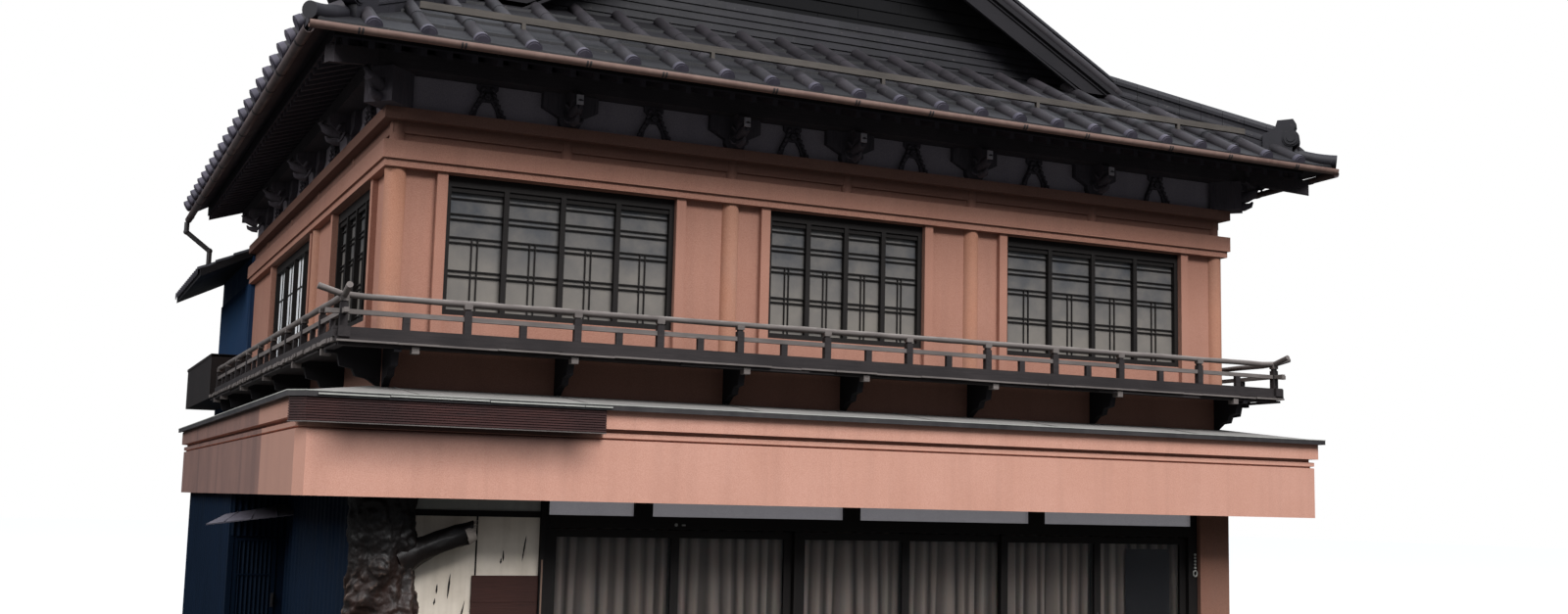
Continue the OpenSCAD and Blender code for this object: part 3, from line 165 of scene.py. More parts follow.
FLOOR_SIZE = 240
bpy.ops.mesh.primitive_plane_add(size=FLOOR_SIZE, location=(0, 5, 0))
floor = bpy.context.object
floor.name = "studio_floor"
floor_paint = bpy.data.materials.new("studio_floor")
floor_paint.use_nodes = True
tree = floor_paint.node_tree
tree.nodes.clear()
pale = put(tree, "BsdfDiffuse", {"Color": (0.5, 0.5, 0.49, 1)})
glow = put(tree, "Emission", {"Color": (1, 1, 1, 1), "Strength": 0.5})
both = put(tree, "AddShader", {0: pale.outputs[0], 1: glow.outputs[0]})
street = put(tree, "BsdfDiffuse", {"Color": (0.06, 0.06, 0.058, 1)})
camera_sees = put(tree, "LightPath").outputs["Is Camera Ray"]
floor_mix = put(tree, "MixShader", {0: camera_sees, 1: street.outputs[0], 2: both.outputs[0]})
put(tree, "OutputMaterial", {"Surface": floor_mix.outputs[0]})
floor.data.materials.append(floor_paint)

bpy.context.scene.view_settings.view_transform = "Standard"


def add_lamp(name, place, aim, size, watts):
    """A square soft lamp at place that points at aim."""
    data = bpy.data.lights.new(name, "AREA")
    data.shape = "SQUARE"
    data.size = size
    data.energy = watts
    lamp = bpy.data.objects.new(name, data)
    bpy.context.scene.collection.objects.link(lamp)
    lamp.location = place
    lamp.rotation_euler = (Vector(aim) - Vector(place)).to_track_quat("-Z", "Y").to_euler()
    print("lamp", name, watts, "W")


add_lamp("front_sky", place=(3.0, -20.0, 26.0), aim=(0.0, 1.0, 4.0), size=14.0, watts=12000)
add_lamp("left_sky", place=(-24.0, -2.0, 15.0), aim=(-5.0, 4.0, 3.5), size=14.0, watts=3800)

# %% [markdown]
# Several finishes age in the same ways, so each effect is a node group, made once. Rain leaves long
# upright streaks and soft blotches. Object coordinates are the house's own metres, which keeps the scale
# right on every piece.

# %% Node group: rain streaks and blotches
def new_group(name, inputs, outputs):
    """A shader node group with these inputs (name, default) and outputs, and its two end nodes."""
    tree = bpy.data.node_groups.new(name, "ShaderNodeTree")
    for label, default in inputs:
        kind = "NodeSocketVector" if isinstance(default, tuple) else "NodeSocketFloat"
        tree.interface.new_socket(label, in_out="INPUT", socket_type=kind).default_value = default
    for label in outputs:
        tree.interface.new_socket(label, in_out="OUTPUT", socket_type="NodeSocketFloat")
    print("group", name)
    return tree, tree.nodes.new("NodeGroupInput").outputs, tree.nodes.new("NodeGroupOutput").inputs


def scaled_place(tree, scale=(1.0, 1.0, 1.0)):
    """The surface's place in metres, stretched by a vector before a texture reads it."""
    place = put(tree, "TexCoord").outputs["Object"]
    return put(tree, "VectorMath", {0: place, 1: scale}, operation="MULTIPLY").outputs[0]


def noise(tree, vector, scale, detail=4.0, rough=0.55):
    inputs = {"Vector": vector, "Scale": scale, "Detail": detail, "Roughness": rough}
    return put(tree, "TexNoise", inputs).outputs["Fac"]


rain_group, given, wanted = new_group(
    "rain_marks", [("Streak Width", 9.0), ("Blotch Size", 0.7)], ["Streaks", "Blotches"]
)
tall = scaled_place(rain_group, (1.0, 1.0, 0.06))
streaks = step_mask(rain_group, noise(rain_group, tall, given["Streak Width"], 6.0), 0.42, 0.72)
rain_group.links.new(streaks, wanted["Streaks"])
near = scaled_place(rain_group)
blotches = step_mask(rain_group, noise(rain_group, near, given["Blotch Size"], 5.0, 0.6), 0.35, 0.68)
rain_group.links.new(blotches, wanted["Blotches"])

# %% [markdown]
# Wood grain is noise drawn out along the timber. A photograph of wood would repeat and would need an
# unwrapped mesh, so the grain is worked out from the place in the house instead. One input gives its
# direction. Checks are the short cracks that open along the grain of old timber.

# %% Node group: wood grain
grain_group, given, wanted = new_group(
    "wood_grain", [("Along", (0.08, 1.0, 1.0)), ("Fineness", 60.0)], ["Grain", "Checks"]
)
place = put(grain_group, "TexCoord").outputs["Object"]
along = put(grain_group, "VectorMath", {0: place, 1: given["Along"]}, operation="MULTIPLY").outputs[0]
grain_group.links.new(noise(grain_group, along, given["Fineness"], 5.0, 0.65), wanted["Grain"])
coarse = times(grain_group, given["Fineness"], 0.35)
checks = step_mask(grain_group, noise(grain_group, along, coarse, 8.0, 0.75), 0.6, 0.66)
grain_group.links.new(checks, wanted["Checks"])

# %% [markdown]
# Sun and dust bleach what faces the sky and leave the undersides dark. The surface's own direction says
# how far it looks upwards, and noise breaks the result into patches.

# %% Node group: dust and bleaching on what faces the sky
dust_group, given, wanted = new_group("sky_dust", [("Patch Size", 3.0)], ["Dust"])
skyward = step_mask(dust_group, facing(dust_group)["Z"], 0.25, 0.95)
patches = noise(dust_group, scaled_place(dust_group), given["Patch Size"])
dust = times(dust_group, skyward, step_mask(dust_group, patches, 0.3, 0.7))
dust_group.links.new(dust, wanted["Dust"])

# %% [markdown]
# Every finish is one Principled shader, because that is what the exported model can carry. Its colour,
# roughness and fine relief come from nodes, and its plain numbers are set on the shader itself.

# %% Tools for materials
def use_group(tree, group, **inputs):
    node = put(tree, "Group", node_tree=group)
    for label, value in inputs.items():
        node.inputs[label.replace("_", " ")].default_value = value
    return node.outputs


def new_finish(name, colour, roughness, **principled):
    """A material with one Principled shader. Returns the material, its tree and the shader."""
    finish = bpy.data.materials.new(name)
    finish.use_nodes = True
    tree = finish.node_tree
    tree.nodes.clear()
    shader = put(tree, "BsdfPrincipled", {"Roughness": roughness})
    if isinstance(colour, tuple):
        shader.inputs["Base Color"].default_value = colour
    for label, value in principled.items():
        shader.inputs[label.replace("_", " ")].default_value = value
    put(tree, "OutputMaterial", {"Surface": shader.outputs[0]})
    print("finish", name)
    return finish, tree, shader


def reopened(finish):
    """A finish's tree, its shader and the colour that feeds it, so that more can be laid over it."""
    tree = finish.node_tree
    shader = tree.nodes["Principled BSDF"]
    return tree, shader, shader.inputs["Base Color"].links[0].from_socket


def colour_with(tree, shader, colour):
    tree.links.new(colour, shader.inputs["Base Color"])


def roughness_with(tree, shader, value, low, high):
    """Spreads the roughness from low to high as the value goes from 0 to 1."""
    rough = put(tree, "MapRange", {"Value": value, "To Min": low, "To Max": high}).outputs[0]
    tree.links.new(rough, shader.inputs["Roughness"])


def bump_with(tree, shader, value, strength, depth):
    """Raises the surface by value times depth, in metres."""
    bump = put(tree, "Bump", {"Height": value, "Strength": strength, "Distance": depth})
    tree.links.new(bump.outputs[0], shader.inputs["Normal"])


# %% [markdown]
# ## Finishes
# The roughcast is terracotta paint over coarse grit. It is paler where rain washes it and greyer in
# blotches, and the canopy's fascia has faded more than the wall under the eaves. Modelled grit would
# take millions of faces, so fine noise raises the surface in the shading alone.

# %% Roughcast plaster
def roughcast(name, colour, faded, soiled):
    finish, tree, shader = new_finish(name, colour, 0.92)
    marks = use_group(tree, rain_group, Streak_Width=7.0, Blotch_Size=0.8)
    washed = blend_colours(tree, times(tree, marks["Blotches"], 0.4), colour, faded)
    fine = noise(tree, scaled_place(tree), 130.0, detail=3.0, rough=0.7)
    grit = times(tree, step_mask(tree, fine, 0.35, 0.7), 0.5)
    streaked = blend_colours(tree, times(tree, marks["Streaks"], 0.14), washed, soiled)
    colour_with(tree, shader, blend_colours(tree, grit, streaked, washed, "MULTIPLY"))
    bump_with(tree, shader, fine, strength=0.6, depth=0.004)
    return finish


# %% [markdown]
# The canopy's plaster carries a painted shadow below its dark board, and brown rain marks on its sides,
# apart from a fresher stretch by the corner. Masks made from the place and the direction of the surface lay
# these over the plain roughcast, which saves cutting the fascia into pieces.

# %% Painted shadow and rain marks on the canopy's plaster
BOARD_SHADOW_RISE = (2.5, 3.02)
BOARD_SHADOW_LEFT, BOARD_SHADOW_RIGHT = (-6.12, -5.6), (-3.55, -3.1)
FRESH_STRETCH = (1.5, 1.62)


def stained_fascia_with_board_shadow():
    finish = roughcast("fascia_plaster", rgb(200, 152, 133), rgb(210, 164, 147), rgb(150, 112, 98))
    tree, shader, clean = reopened(finish)
    place, normal = house_place(tree), facing(tree)
    wander = times(tree, noise(tree, scaled_place(tree), 3.0), 0.1)
    # Painted shadow of the dark board: below the board, the fascia's front is painted dark brown, fading
    # downwards.
    soot_and_painted_shade = step_mask(tree, math_node(tree, "ADD", place["Z"], wander), *BOARD_SHADOW_RISE)
    soot_and_painted_shade = times(tree, soot_and_painted_shade, inverse(tree, step_mask(tree, place["X"], *BOARD_SHADOW_RIGHT)))
    soot_and_painted_shade = times(tree, soot_and_painted_shade, step_mask(tree, place["X"], *BOARD_SHADOW_LEFT))
    soot_and_painted_shade = times(tree, soot_and_painted_shade, step_mask(tree, math_node(tree, "ABSOLUTE", normal["Y"]), 0.4, 0.6))
    board_shadowed = blend_colours(tree, times(tree, soot_and_painted_shade, 0.9), clean, rgb(50, 32, 29))
    marks = use_group(tree, rain_group, Streak_Width=2.5, Blotch_Size=1.1)
    wet = math_node(tree, "MAXIMUM", marks["Streaks"], times(tree, marks["Blotches"], 0.6))
    brown = blend_colours(tree, times(tree, wet, 0.7), rgb(126, 94, 84), rgb(88, 68, 64))
    near_corner = inverse(tree, step_mask(tree, place["Y"], *FRESH_STRETCH))
    fresher = blend_colours(tree, times(tree, near_corner, 0.5), brown, rgb(190, 142, 122))
    side = step_mask(tree, math_node(tree, "ABSOLUTE", normal["X"]), 0.6, 0.8)
    colour_with(tree, shader, blend_colours(tree, side, board_shadowed, fresher))
    return finish


fascia_plaster = stained_fascia_with_board_shadow()

# %% [markdown]
# The walls are painted darker close under the eaves and below the balcony, as painted shade where the
# overhangs keep off the light. The height above the street tells where that is, so one finish serves all the
# walls.

# %% Painted shade on the walls, and the other plasters
UNDER_EAVES, UNDER_DECK = (5.5, 6.05), (3.7, 3.82)


def terracotta_with_painted_shade():
    finish = roughcast("terracotta_plaster", rgb(166, 120, 102), rgb(176, 133, 116), rgb(122, 90, 80))
    tree, shader, clean = reopened(finish)
    level = house_place(tree)["Z"]
    # Painted shade: darker close under the eaves and below the balcony.
    high = times(tree, step_mask(tree, level, *UNDER_EAVES), 0.55)
    low = times(tree, inverse(tree, step_mask(tree, level, *UNDER_DECK)), 0.48)
    soot_and_painted_shade = math_node(tree, "MAXIMUM", high, low)
    colour_with(tree, shader, blend_colours(tree, soot_and_painted_shade, clean, rgb(46, 32, 30)))
    return finish


terracotta = terracotta_with_painted_shade()
# Painted shade: a darker copy of the column plaster for the right corner column, in shade under the canopy.
shaded_low_column = roughcast("shaded_low_column_plaster", rgb(138, 98, 82), rgb(150, 102, 78), rgb(128, 112, 104))
column_plaster = roughcast("column_plaster", rgb(168, 124, 104), rgb(184, 126, 96), rgb(164, 146, 136))
concrete = roughcast("concrete", rgb(150, 147, 142), rgb(165, 163, 158), rgb(110, 107, 102))


# %% [markdown]
# The cream plaster beside the shop front is smooth and stained in streaks. Slow noise for the waves of
# the trowel is all its relief, since grit would make it look like the other walls.

# %% Cream plaster
def smooth_plaster():
    finish, tree, shader = new_finish("cream_plaster", None, 0.85)
    marks = use_group(tree, rain_group, Streak_Width=6.0, Blotch_Size=1.6)
    aged = blend_colours(tree, marks["Blotches"], rgb(228, 216, 200), rgb(208, 195, 178))
    streaks = times(tree, marks["Streaks"], 0.3)
    colour_with(tree, shader, blend_colours(tree, streaks, aged, rgb(148, 134, 114)))
    bump_with(tree, shader, noise(tree, scaled_place(tree), 12.0, 5.0), strength=0.3, depth=0.004)
    return finish


cream_plaster = smooth_plaster()


# %% [markdown]
# Every timber shares the grain group. What changes is the direction of the grain, the colour of the
# stain, and how much the sun has bleached the upper faces, so one function makes them all.

# %% Timber finishes
def timber(name, dark, light, bleached, along, bleach=0.6, roughness=0.8):
    finish, tree, shader = new_finish(name, dark, roughness, Specular_IOR_Level=0.25)
    wood = use_group(tree, grain_group, Along=along, Fineness=60.0)
    grained = blend_colours(tree, wood["Grain"], dark, light)
    marks = use_group(tree, rain_group, Streak_Width=5.0, Blotch_Size=1.5)
    patchy = blend_colours(tree, times(tree, marks["Blotches"], 0.5), grained, dark)
    dust = use_group(tree, dust_group, Patch_Size=4.0)["Dust"]
    aged = blend_colours(tree, times(tree, dust, bleach), patchy, bleached)
    colour_with(tree, shader, blend_colours(tree, wood["Checks"], aged, dark))
    bump_with(tree, shader, wood["Grain"], strength=0.5, depth=0.003)
    return finish


ALONG_X = (0.06, 1.0, 1.0)
ALONG_Y = (1.0, 0.06, 1.0)
UPRIGHT = (1.0, 1.0, 0.06)

grey_rail_x = timber("grey_rail_x", rgb(70, 64, 62), rgb(132, 124, 120), rgb(150, 144, 140), ALONG_X)
grey_rail_y = timber("grey_rail_y", rgb(70, 64, 62), rgb(132, 124, 120), rgb(150, 144, 140), ALONG_Y)
plank_x = timber("dark_plank_x", rgb(26, 23, 24), rgb(60, 54, 54), rgb(88, 82, 80), ALONG_X, bleach=0.5)
plank_y = timber("dark_plank_y", rgb(26, 23, 24), rgb(60, 54, 54), rgb(88, 82, 80), ALONG_Y, bleach=0.5)
dark_timber = timber("dark_timber", rgb(42, 38, 42), rgb(72, 66, 70), rgb(104, 98, 98), ALONG_X, bleach=0.4)
sooty_timber = timber("sooty_timber", rgb(14, 13, 16), rgb(32, 29, 33), rgb(52, 48, 50), ALONG_X, bleach=0.4)
snow_timber = timber("snow_timber", rgb(50, 46, 43), rgb(92, 86, 80), rgb(104, 98, 92), ALONG_X, bleach=0.5)
nose_timber = timber(
    "nose_timber", rgb(140, 134, 140), rgb(196, 190, 196), rgb(190, 186, 188), UPRIGHT, bleach=0.4
)
carved_timber = timber(
    "carved_timber", rgb(50, 46, 52), rgb(96, 90, 97), rgb(116, 110, 112), UPRIGHT, bleach=0.5
)
eave_boards = timber("eave_boards", rgb(48, 45, 52), rgb(78, 73, 80), rgb(90, 84, 86), ALONG_Y, bleach=0.2)
gable_boards = timber(
    "gable_boards", rgb(4, 4, 5), rgb(12, 11, 14), rgb(20, 19, 21), ALONG_X, bleach=0.3, roughness=0.95
)
joinery = timber(
    "dark_joinery", rgb(15, 12, 11), rgb(30, 25, 23), rgb(48, 42, 40), UPRIGHT, bleach=0.3, roughness=0.75
)
red_board = timber(
    "red_stained_board", rgb(36, 27, 28), rgb(86, 50, 46), rgb(112, 100, 98), ALONG_X, 0.4, roughness=0.6
)
brown_board = timber("brown_board", rgb(22, 18, 18), rgb(38, 31, 29), rgb(50, 42, 40), ALONG_X, bleach=0.1)
floor_boards = timber(
    "floor_boards", rgb(110, 84, 60), rgb(150, 118, 86), rgb(160, 130, 100), ALONG_X, bleach=0.2
)


# %% [markdown]
# The fired tiles are grey with a blue and a brown cast, and no two are quite alike. White noise read
# at each tile's own cell gives every tile one random shade. Lichen adds pale rough patches.

# %% Roof tiles
def fired_tile(name, dark, light, cell):
    finish, tree, shader = new_finish(name, dark, 0.6, Specular_IOR_Level=0.3)
    place = put(tree, "TexCoord").outputs["Object"]
    snapped = put(tree, "VectorMath", {0: place, 1: cell}, operation="SNAP").outputs[0]
    shade = put(tree, "TexWhiteNoise", {"Vector": snapped}, noise_dimensions="3D").outputs["Value"]
    soot_and_painted_shade = noise(tree, scaled_place(tree), 2.2, 6.0, 0.7)
    tone = math_node(tree, "ADD", times(tree, shade, 0.5), times(tree, soot_and_painted_shade, 0.7))
    tinted = blend_colours(tree, tone, dark, light)
    spots = noise(tree, scaled_place(tree), 18.0, 5.0, 0.75)
    lichen = times(tree, step_mask(tree, spots, 0.62, 0.7), 0.35)
    colour_with(tree, shader, blend_colours(tree, lichen, tinted, rgb(110, 103, 98)))
    roughness_with(tree, shader, soot_and_painted_shade, 0.42, 0.8)
    bump_with(tree, shader, noise(tree, scaled_place(tree), 90.0, 4.0), strength=0.35, depth=0.003)
    return finish


pan_tiles = fired_tile("pan_tiles", rgb(5, 5, 7), rgb(22, 20, 24), (0.515, 0.42, 0.23))
side_tiles = fired_tile("side_tiles", rgb(22, 21, 27), rgb(50, 46, 52), (0.14, 0.27, 0.13))
rib_tiles = fired_tile("rib_tiles", rgb(13, 12, 15), rgb(46, 42, 46), (0.515, 0.6, 0.33))
ridge_tiles = fired_tile("ridge_tiles", rgb(9, 9, 13), rgb(30, 28, 34), (0.3, 0.3, 0.3))
tile_ends = fired_tile("tile_ends", rgb(52, 50, 60), rgb(72, 68, 78), (0.515, 0.5, 0.5))


# %% [markdown]
# Sheet metals come next: the gutters' brown copper paint, the blue cladding, the grey canopy sheet. They
# age alike, in faded streaks with spots of rust, so they too share one function.

# %% Sheet metal finishes
SHEET_WEAR = 0.4


def painted_sheet(name, colour, worn, rust, roughness, metallic=0.0, gloss=0.5):
    finish, tree, shader = new_finish(
        name, colour, roughness, Metallic=metallic, Specular_IOR_Level=gloss
    )
    marks = use_group(tree, rain_group, Streak_Width=12.0, Blotch_Size=1.2)
    faded = blend_colours(tree, times(tree, marks["Blotches"], SHEET_WEAR), colour, worn)
    spots = noise(tree, scaled_place(tree, (1, 1, 0.5)), 26.0, 6.0, 0.8)
    rusted = times(tree, step_mask(tree, spots, 0.62, 0.7), 0.7)
    streaked = blend_colours(tree, times(tree, marks["Streaks"], SHEET_WEAR), faded, worn)
    colour_with(tree, shader, blend_colours(tree, rusted, streaked, rust))
    roughness_with(tree, shader, marks["Blotches"], roughness, 0.85)
    bump_with(tree, shader, spots, strength=0.15, depth=0.002)
    return finish


# each line gives the paint, where it has faded, its rust, and its roughness
copper_paint = painted_sheet(
    "copper_paint", rgb(110, 86, 78), rgb(136, 112, 102), rgb(60, 46, 42), 0.45, metallic=0.2
)
# Painted shade: a darker copy of the copper paint for the side gutters.
shaded_side_copper = painted_sheet(
    "shaded_side_copper", rgb(72, 59, 58), rgb(92, 79, 76), rgb(44, 36, 36), 0.45, metallic=0.2
)
blue_paint = painted_sheet("blue_paint", rgb(4, 20, 37), rgb(8, 26, 46), rgb(8, 12, 18), 0.6, gloss=0.12)
wing_blue = painted_sheet("wing_blue", rgb(20, 46, 76), rgb(30, 58, 88), rgb(26, 34, 48), 0.6, gloss=0.2)
canopy_sheet = painted_sheet(
    "canopy_sheet", rgb(118, 115, 112), rgb(136, 132, 129), rgb(80, 74, 70), 0.7, gloss=0.25
)
black_metal = painted_sheet("black_metal", rgb(34, 32, 34), rgb(60, 56, 56), rgb(60, 44, 38), 0.45)
hood_sheet = painted_sheet("hood_sheet", rgb(86, 82, 92), rgb(106, 102, 110), rgb(64, 56, 56), 0.5)
pale_metal = painted_sheet("pale_metal", rgb(150, 150, 144), rgb(176, 176, 170), rgb(110, 104, 96), 0.45)


# %% [markdown]
# The shop's glass is clear, with a faint wave that bends what it shows. The upper panes are frosted grey,
# painted paler low down as a painted reflection, and let little light through. The curtains are pale cloth,
# with painted shade in the hollows of their folds and towards their tops, under the frame and the canopy. The
# trunk is varnished over its old bark colour, its raised ribs are rubbed pale, and its upper part has painted
# shade.

# %% Glass, cloth and varnish
def clear_glass_finish():
    finish, tree, shader = new_finish(
        "clear_glass", (0.62, 0.63, 0.65, 1), 0.02, IOR=1.45, Transmission_Weight=1.0
    )
    wave = noise(tree, scaled_place(tree), 1.6, 1.0)
    bump_with(tree, shader, wave, strength=0.08, depth=0.01)
    return finish


def obscured_glass_finish():
    """Frosted panes: grey, softly mottled, with a dull gloss."""
    finish, tree, shader = new_finish(
        "obscured_glass", None, 0.28, IOR=1.45, Transmission_Weight=0.12
    )
    cloud = noise(tree, scaled_place(tree), 2.0, 5.0, 0.65)
    mottled = blend_colours(tree, step_mask(tree, cloud, 0.3, 0.7), rgb(74, 77, 82), rgb(116, 112, 108))
    # Painted reflection: the panes are painted paler low down.
    low = times(tree, inverse(tree, step_mask(tree, house_place(tree)["Z"], 4.3, 5.3)), 0.5)
    colour_with(tree, shader, blend_colours(tree, low, mottled, rgb(146, 138, 128)))
    bump_with(tree, shader, noise(tree, scaled_place(tree), 220.0, 2.0), strength=0.15, depth=0.001)
    return finish


def curtain_finish(name, colour, shade):
    finish, tree, shader = new_finish(name, None, 0.9, Sheen_Weight=0.3, Subsurface_Weight=0.15)
    weave = put(tree, "TexWave", {"Vector": scaled_place(tree), "Scale": 240.0, "Distortion": 0.4})
    cloth = blend_colours(tree, weave.outputs["Fac"], colour, shade)
    soil = noise(tree, scaled_place(tree, (1, 1, 0.3)), 1.4, 4.0)
    soiled = blend_colours(tree, times(tree, soil, 0.35), cloth, shade)
    place = house_place(tree)
    # Painted shade: the cloth is painted darker where it lies further from the glass, in the hollows of its
    # folds.
    fold_hollow_shade = times(tree, step_mask(tree, place["Y"], 0.05, 0.092), 0.9)
    with_fold_shade = blend_colours(tree, fold_hollow_shade, soiled, rgb(60, 52, 48))
    # Painted shade: darker towards the top, under the frame and the canopy.
    high = times(tree, step_mask(tree, place["Z"], 1.2, 2.0), 0.45)
    colour_with(tree, shader, blend_colours(tree, high, with_fold_shade, rgb(60, 56, 56)))
    bump_with(tree, shader, weave.outputs["Fac"], strength=0.2, depth=0.0006)
    return finish


def varnished_trunk():
    finish, tree, shader = new_finish(
        "varnished_trunk", None, 0.45, Coat_Weight=0.05, Coat_Roughness=0.3, Specular_IOR_Level=0.25
    )
    wood = use_group(tree, grain_group, Along=(1.0, 1.0, 0.25), Fineness=16.0)
    tone = blend_colours(tree, wood["Grain"], rgb(14, 9, 7), rgb(50, 31, 24))
    knots = noise(tree, scaled_place(tree, (1, 1, 0.6)), 5.0, 6.0, 0.7)
    aged = blend_colours(tree, step_mask(tree, knots, 0.45, 0.62), tone, rgb(33, 27, 25))
    raised = step_mask(tree, put(tree, "NewGeometry").outputs["Pointiness"], 0.515, 0.56)
    rubbed = times(tree, times(tree, raised, step_mask(tree, knots, 0.4, 0.6)), 0.6)
    worn = blend_colours(tree, rubbed, aged, rgb(112, 92, 82))
    # Painted shade: the trunk's upper part is painted near black, as shade under the canopy.
    in_shade = times(tree, step_mask(tree, house_place(tree)["Z"], 1.4, 1.9), 0.9)
    worn = blend_colours(tree, in_shade, worn, rgb(9, 7, 7))
    colour_with(tree, shader, blend_colours(tree, wood["Checks"], worn, rgb(12, 9, 9)))
    roughness_with(tree, shader, knots, 0.34, 0.75)
    bump_with(tree, shader, wood["Grain"], strength=0.9, depth=0.012)
    return finish


clear_glass = clear_glass_finish()
obscured_glass = obscured_glass_finish()
pale_curtain = curtain_finish("pale_curtain", rgb(226, 206, 190), rgb(180, 164, 152))
trunk_wood = varnished_trunk()

# %% [markdown]
# ## Finishes on the CAD pieces
# Each CAD node takes its finish through its own material slots. One table keeps nodes and finishes side
# by side, and a node that is missing from it stops the script.

# %% Give every CAD node its finish
NODE_FINISH = {
    terracotta: "front_upper_wall side_upper_walls rear_upper_wall window_jambs wall_beams frieze_posts "
    "frieze_bands bracket_plate",
    column_plaster: "upper_columns",
    shaded_low_column: "right_corner_column",
    fascia_plaster: "canopy_fascia",
    cream_plaster: "plaster_front_wall",
    concrete: "floor_slab",
    blue_paint: "side_low_walls rear_low_wall annex_walls side_door rear_gable",
    wing_blue: "wing_walls",
    canopy_sheet: "canopy_roof",
    hood_sheet: "door_hood",
    black_metal: "downpipe",
    copper_paint: "gutters",
    trunk_wood: "corner_trunk_post",
    joinery: "shop_frame fixed_sashes door_leaf_a door_leaf_b door_leaf_c window_sashes",
    clear_glass: "shop_glass door_glass_a door_glass_b door_glass_c",
    obscured_glass: "window_glass",
    pale_curtain: "shop_curtains",
    plank_x: "balcony_deck",
    carved_timber: "bracket_sets frog_leg_struts",
    dark_timber: "canopy_soffit eave_purlins hip_rafters",
    sooty_timber: "barge_boards balcony_brackets",
    red_board: "dark_corner_board",
    floor_boards: "upper_floor",
    grey_rail_x: "front_balustrade",
    snow_timber: "snow_guard",
    grey_rail_y: "side_balustrades",
    eave_boards: "rafter_soffit",
    gable_boards: "gable_front",
    ridge_tiles: "roof_ridges gable_base wing_ridge",
    rib_tiles: "tile_ribs",
    pan_tiles: "front_roof_slope wing_roof",
    side_tiles: "side_roof_slopes",
    brown_board: "balcony_cabinet",
}


def paint_node(node, finish):
    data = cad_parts[node].data
    data.materials.clear()
    data.materials.append(finish)


painted = set()
for finish, names in NODE_FINISH.items():
    for node in names.split():
        paint_node(node, finish)
        painted.add(node)
assert painted == set(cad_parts), painted ^ set(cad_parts)
print("nodes with a finish:", len(painted))

# %% [markdown]
# ## Making meshes
# Most pieces here are built from a few moves: a box, an outline pushed from front to rear, a round bar
# between two points, and a tube along a path. A small collector gathers them, so that one piece of the
# house becomes one object.

# %% A collector of faces
class Shape:
    """Gathers vertices and faces for one piece."""

    def __init__(self):
        self.points = []
        self.faces = []

    def add(self, points, faces, place=None):
        start = len(self.points)
        moved = [place @ Vector(p) for p in points] if place else [Vector(p) for p in points]
        self.points += moved
        self.faces += [tuple(start + i for i in face) for face in faces]

    def box(self, low, high, place=None):
        (x0, y0, z0), (x1, y1, z1) = low, high
        points = [(x, y, z) for z in (z0, z1) for y in (y0, y1) for x in (x0, x1)]
        faces = [(0, 2, 3, 1), (4, 5, 7, 6), (0, 1, 5, 4), (2, 6, 7, 3), (0, 4, 6, 2), (1, 3, 7, 5)]
        self.add(points, faces, place)

    def rings(self, rings, place=None):
        """Joins rings that have equally many points into a tube with closed ends."""
        n = len(rings[0])
        points = [p for ring in rings for p in ring]
        faces = []
        for k in range(len(rings) - 1):
            for i in range(n):
                j = (i + 1) % n
                faces.append((k * n + i, k * n + j, (k + 1) * n + j, (k + 1) * n + i))
        faces.append(tuple(reversed(range(n))))
        faces.append(tuple(range((len(rings) - 1) * n, len(rings) * n)))
        self.add(points, faces, place)

    def push(self, outline, start, end, place=None):
        """Pushes a flat outline of (x, z) along Y from start to end."""
        self.rings([[(x, y, z) for x, z in outline] for y in (start, end)], place)

    def bar(self, start, end, radius, sides, end_radius=None):
        """A round bar between two points."""
        self.tube([start, end], [radius, end_radius or radius], sides)

    def tube(self, path, radii, sides):
        """A round tube along a path with a radius at each point."""
        path = [Vector(p) for p in path]
        rings = []
        for k, point in enumerate(path):
            ahead = (path[min(k + 1, len(path) - 1)] - path[max(k - 1, 0)]).normalized()
            side = ahead.cross(Vector((0, 0, 1)))
            side = side.normalized() if side.length > 1e-6 else Vector((1, 0, 0))
            up = side.cross(ahead)
            turn = [2 * math.pi * i / sides for i in range(sides)]
            rings.append([point + (side * math.cos(t) + up * math.sin(t)) * radii[k] for t in turn])
        self.rings(rings)

    def both_sides(self):
        """Adds a mirrored copy of everything, for the other side of the house."""
        n = len(self.points)
        self.points += [Vector((-p.x, p.y, p.z)) for p in self.points[:n]]
        self.faces += [tuple(n + i for i in reversed(face)) for face in list(self.faces)]

    def build(self, name, finish, slot, body="house", smooth=False):
        """Makes the object, sets its finish and lets it ride on its body."""
        mesh = bpy.data.meshes.new(name)
        mesh.from_pydata(self.points, [], self.faces)
        mesh.validate()
        work = bmesh.new()
        work.from_mesh(mesh)
        bmesh.ops.recalc_face_normals(work, faces=work.faces)
        work.to_mesh(mesh)
        work.free()
        mesh.materials.append(finish)
        piece = bpy.data.objects.new(name, mesh)
        bpy.context.scene.collection.objects.link(piece)
        if smooth:
            mesh.polygons.foreach_set("use_smooth", [True] * len(mesh.polygons))
        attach(piece, body)
        print(name, len(mesh.vertices), "points")
        return piece


def soft_edges(piece, angle=35):
    """Shades smooth across shallow angles and keeps the sharp ones."""
    chosen = {"object": piece, "active_object": piece, "selected_editable_objects": [piece]}
    with bpy.context.temp_override(**chosen):
        bpy.ops.object.shade_smooth_by_angle(angle=math.radians(angle))
    return piece


def upward(height):
    return Vector((0, 0, height))


def side_and_up(along):
    """The level direction across a line, and the one square to both."""
    side = along.cross(Vector((0, 0, 1))).normalized()
    return side, side.cross(along)


def round_outline(x, z, radius, count):
    """A circle of points round (x, z), ready to be pushed along Y."""
    turns = [2 * math.pi * i / count for i in range(count)]
    return [(x + radius * math.cos(t), z + radius * math.sin(t)) for t in turns]


# %% [markdown]
# The roof's slope, eave and gable come from the CAD model's own values, so that tiles and boards meet
# its solids. The rear end is read from the solid itself.

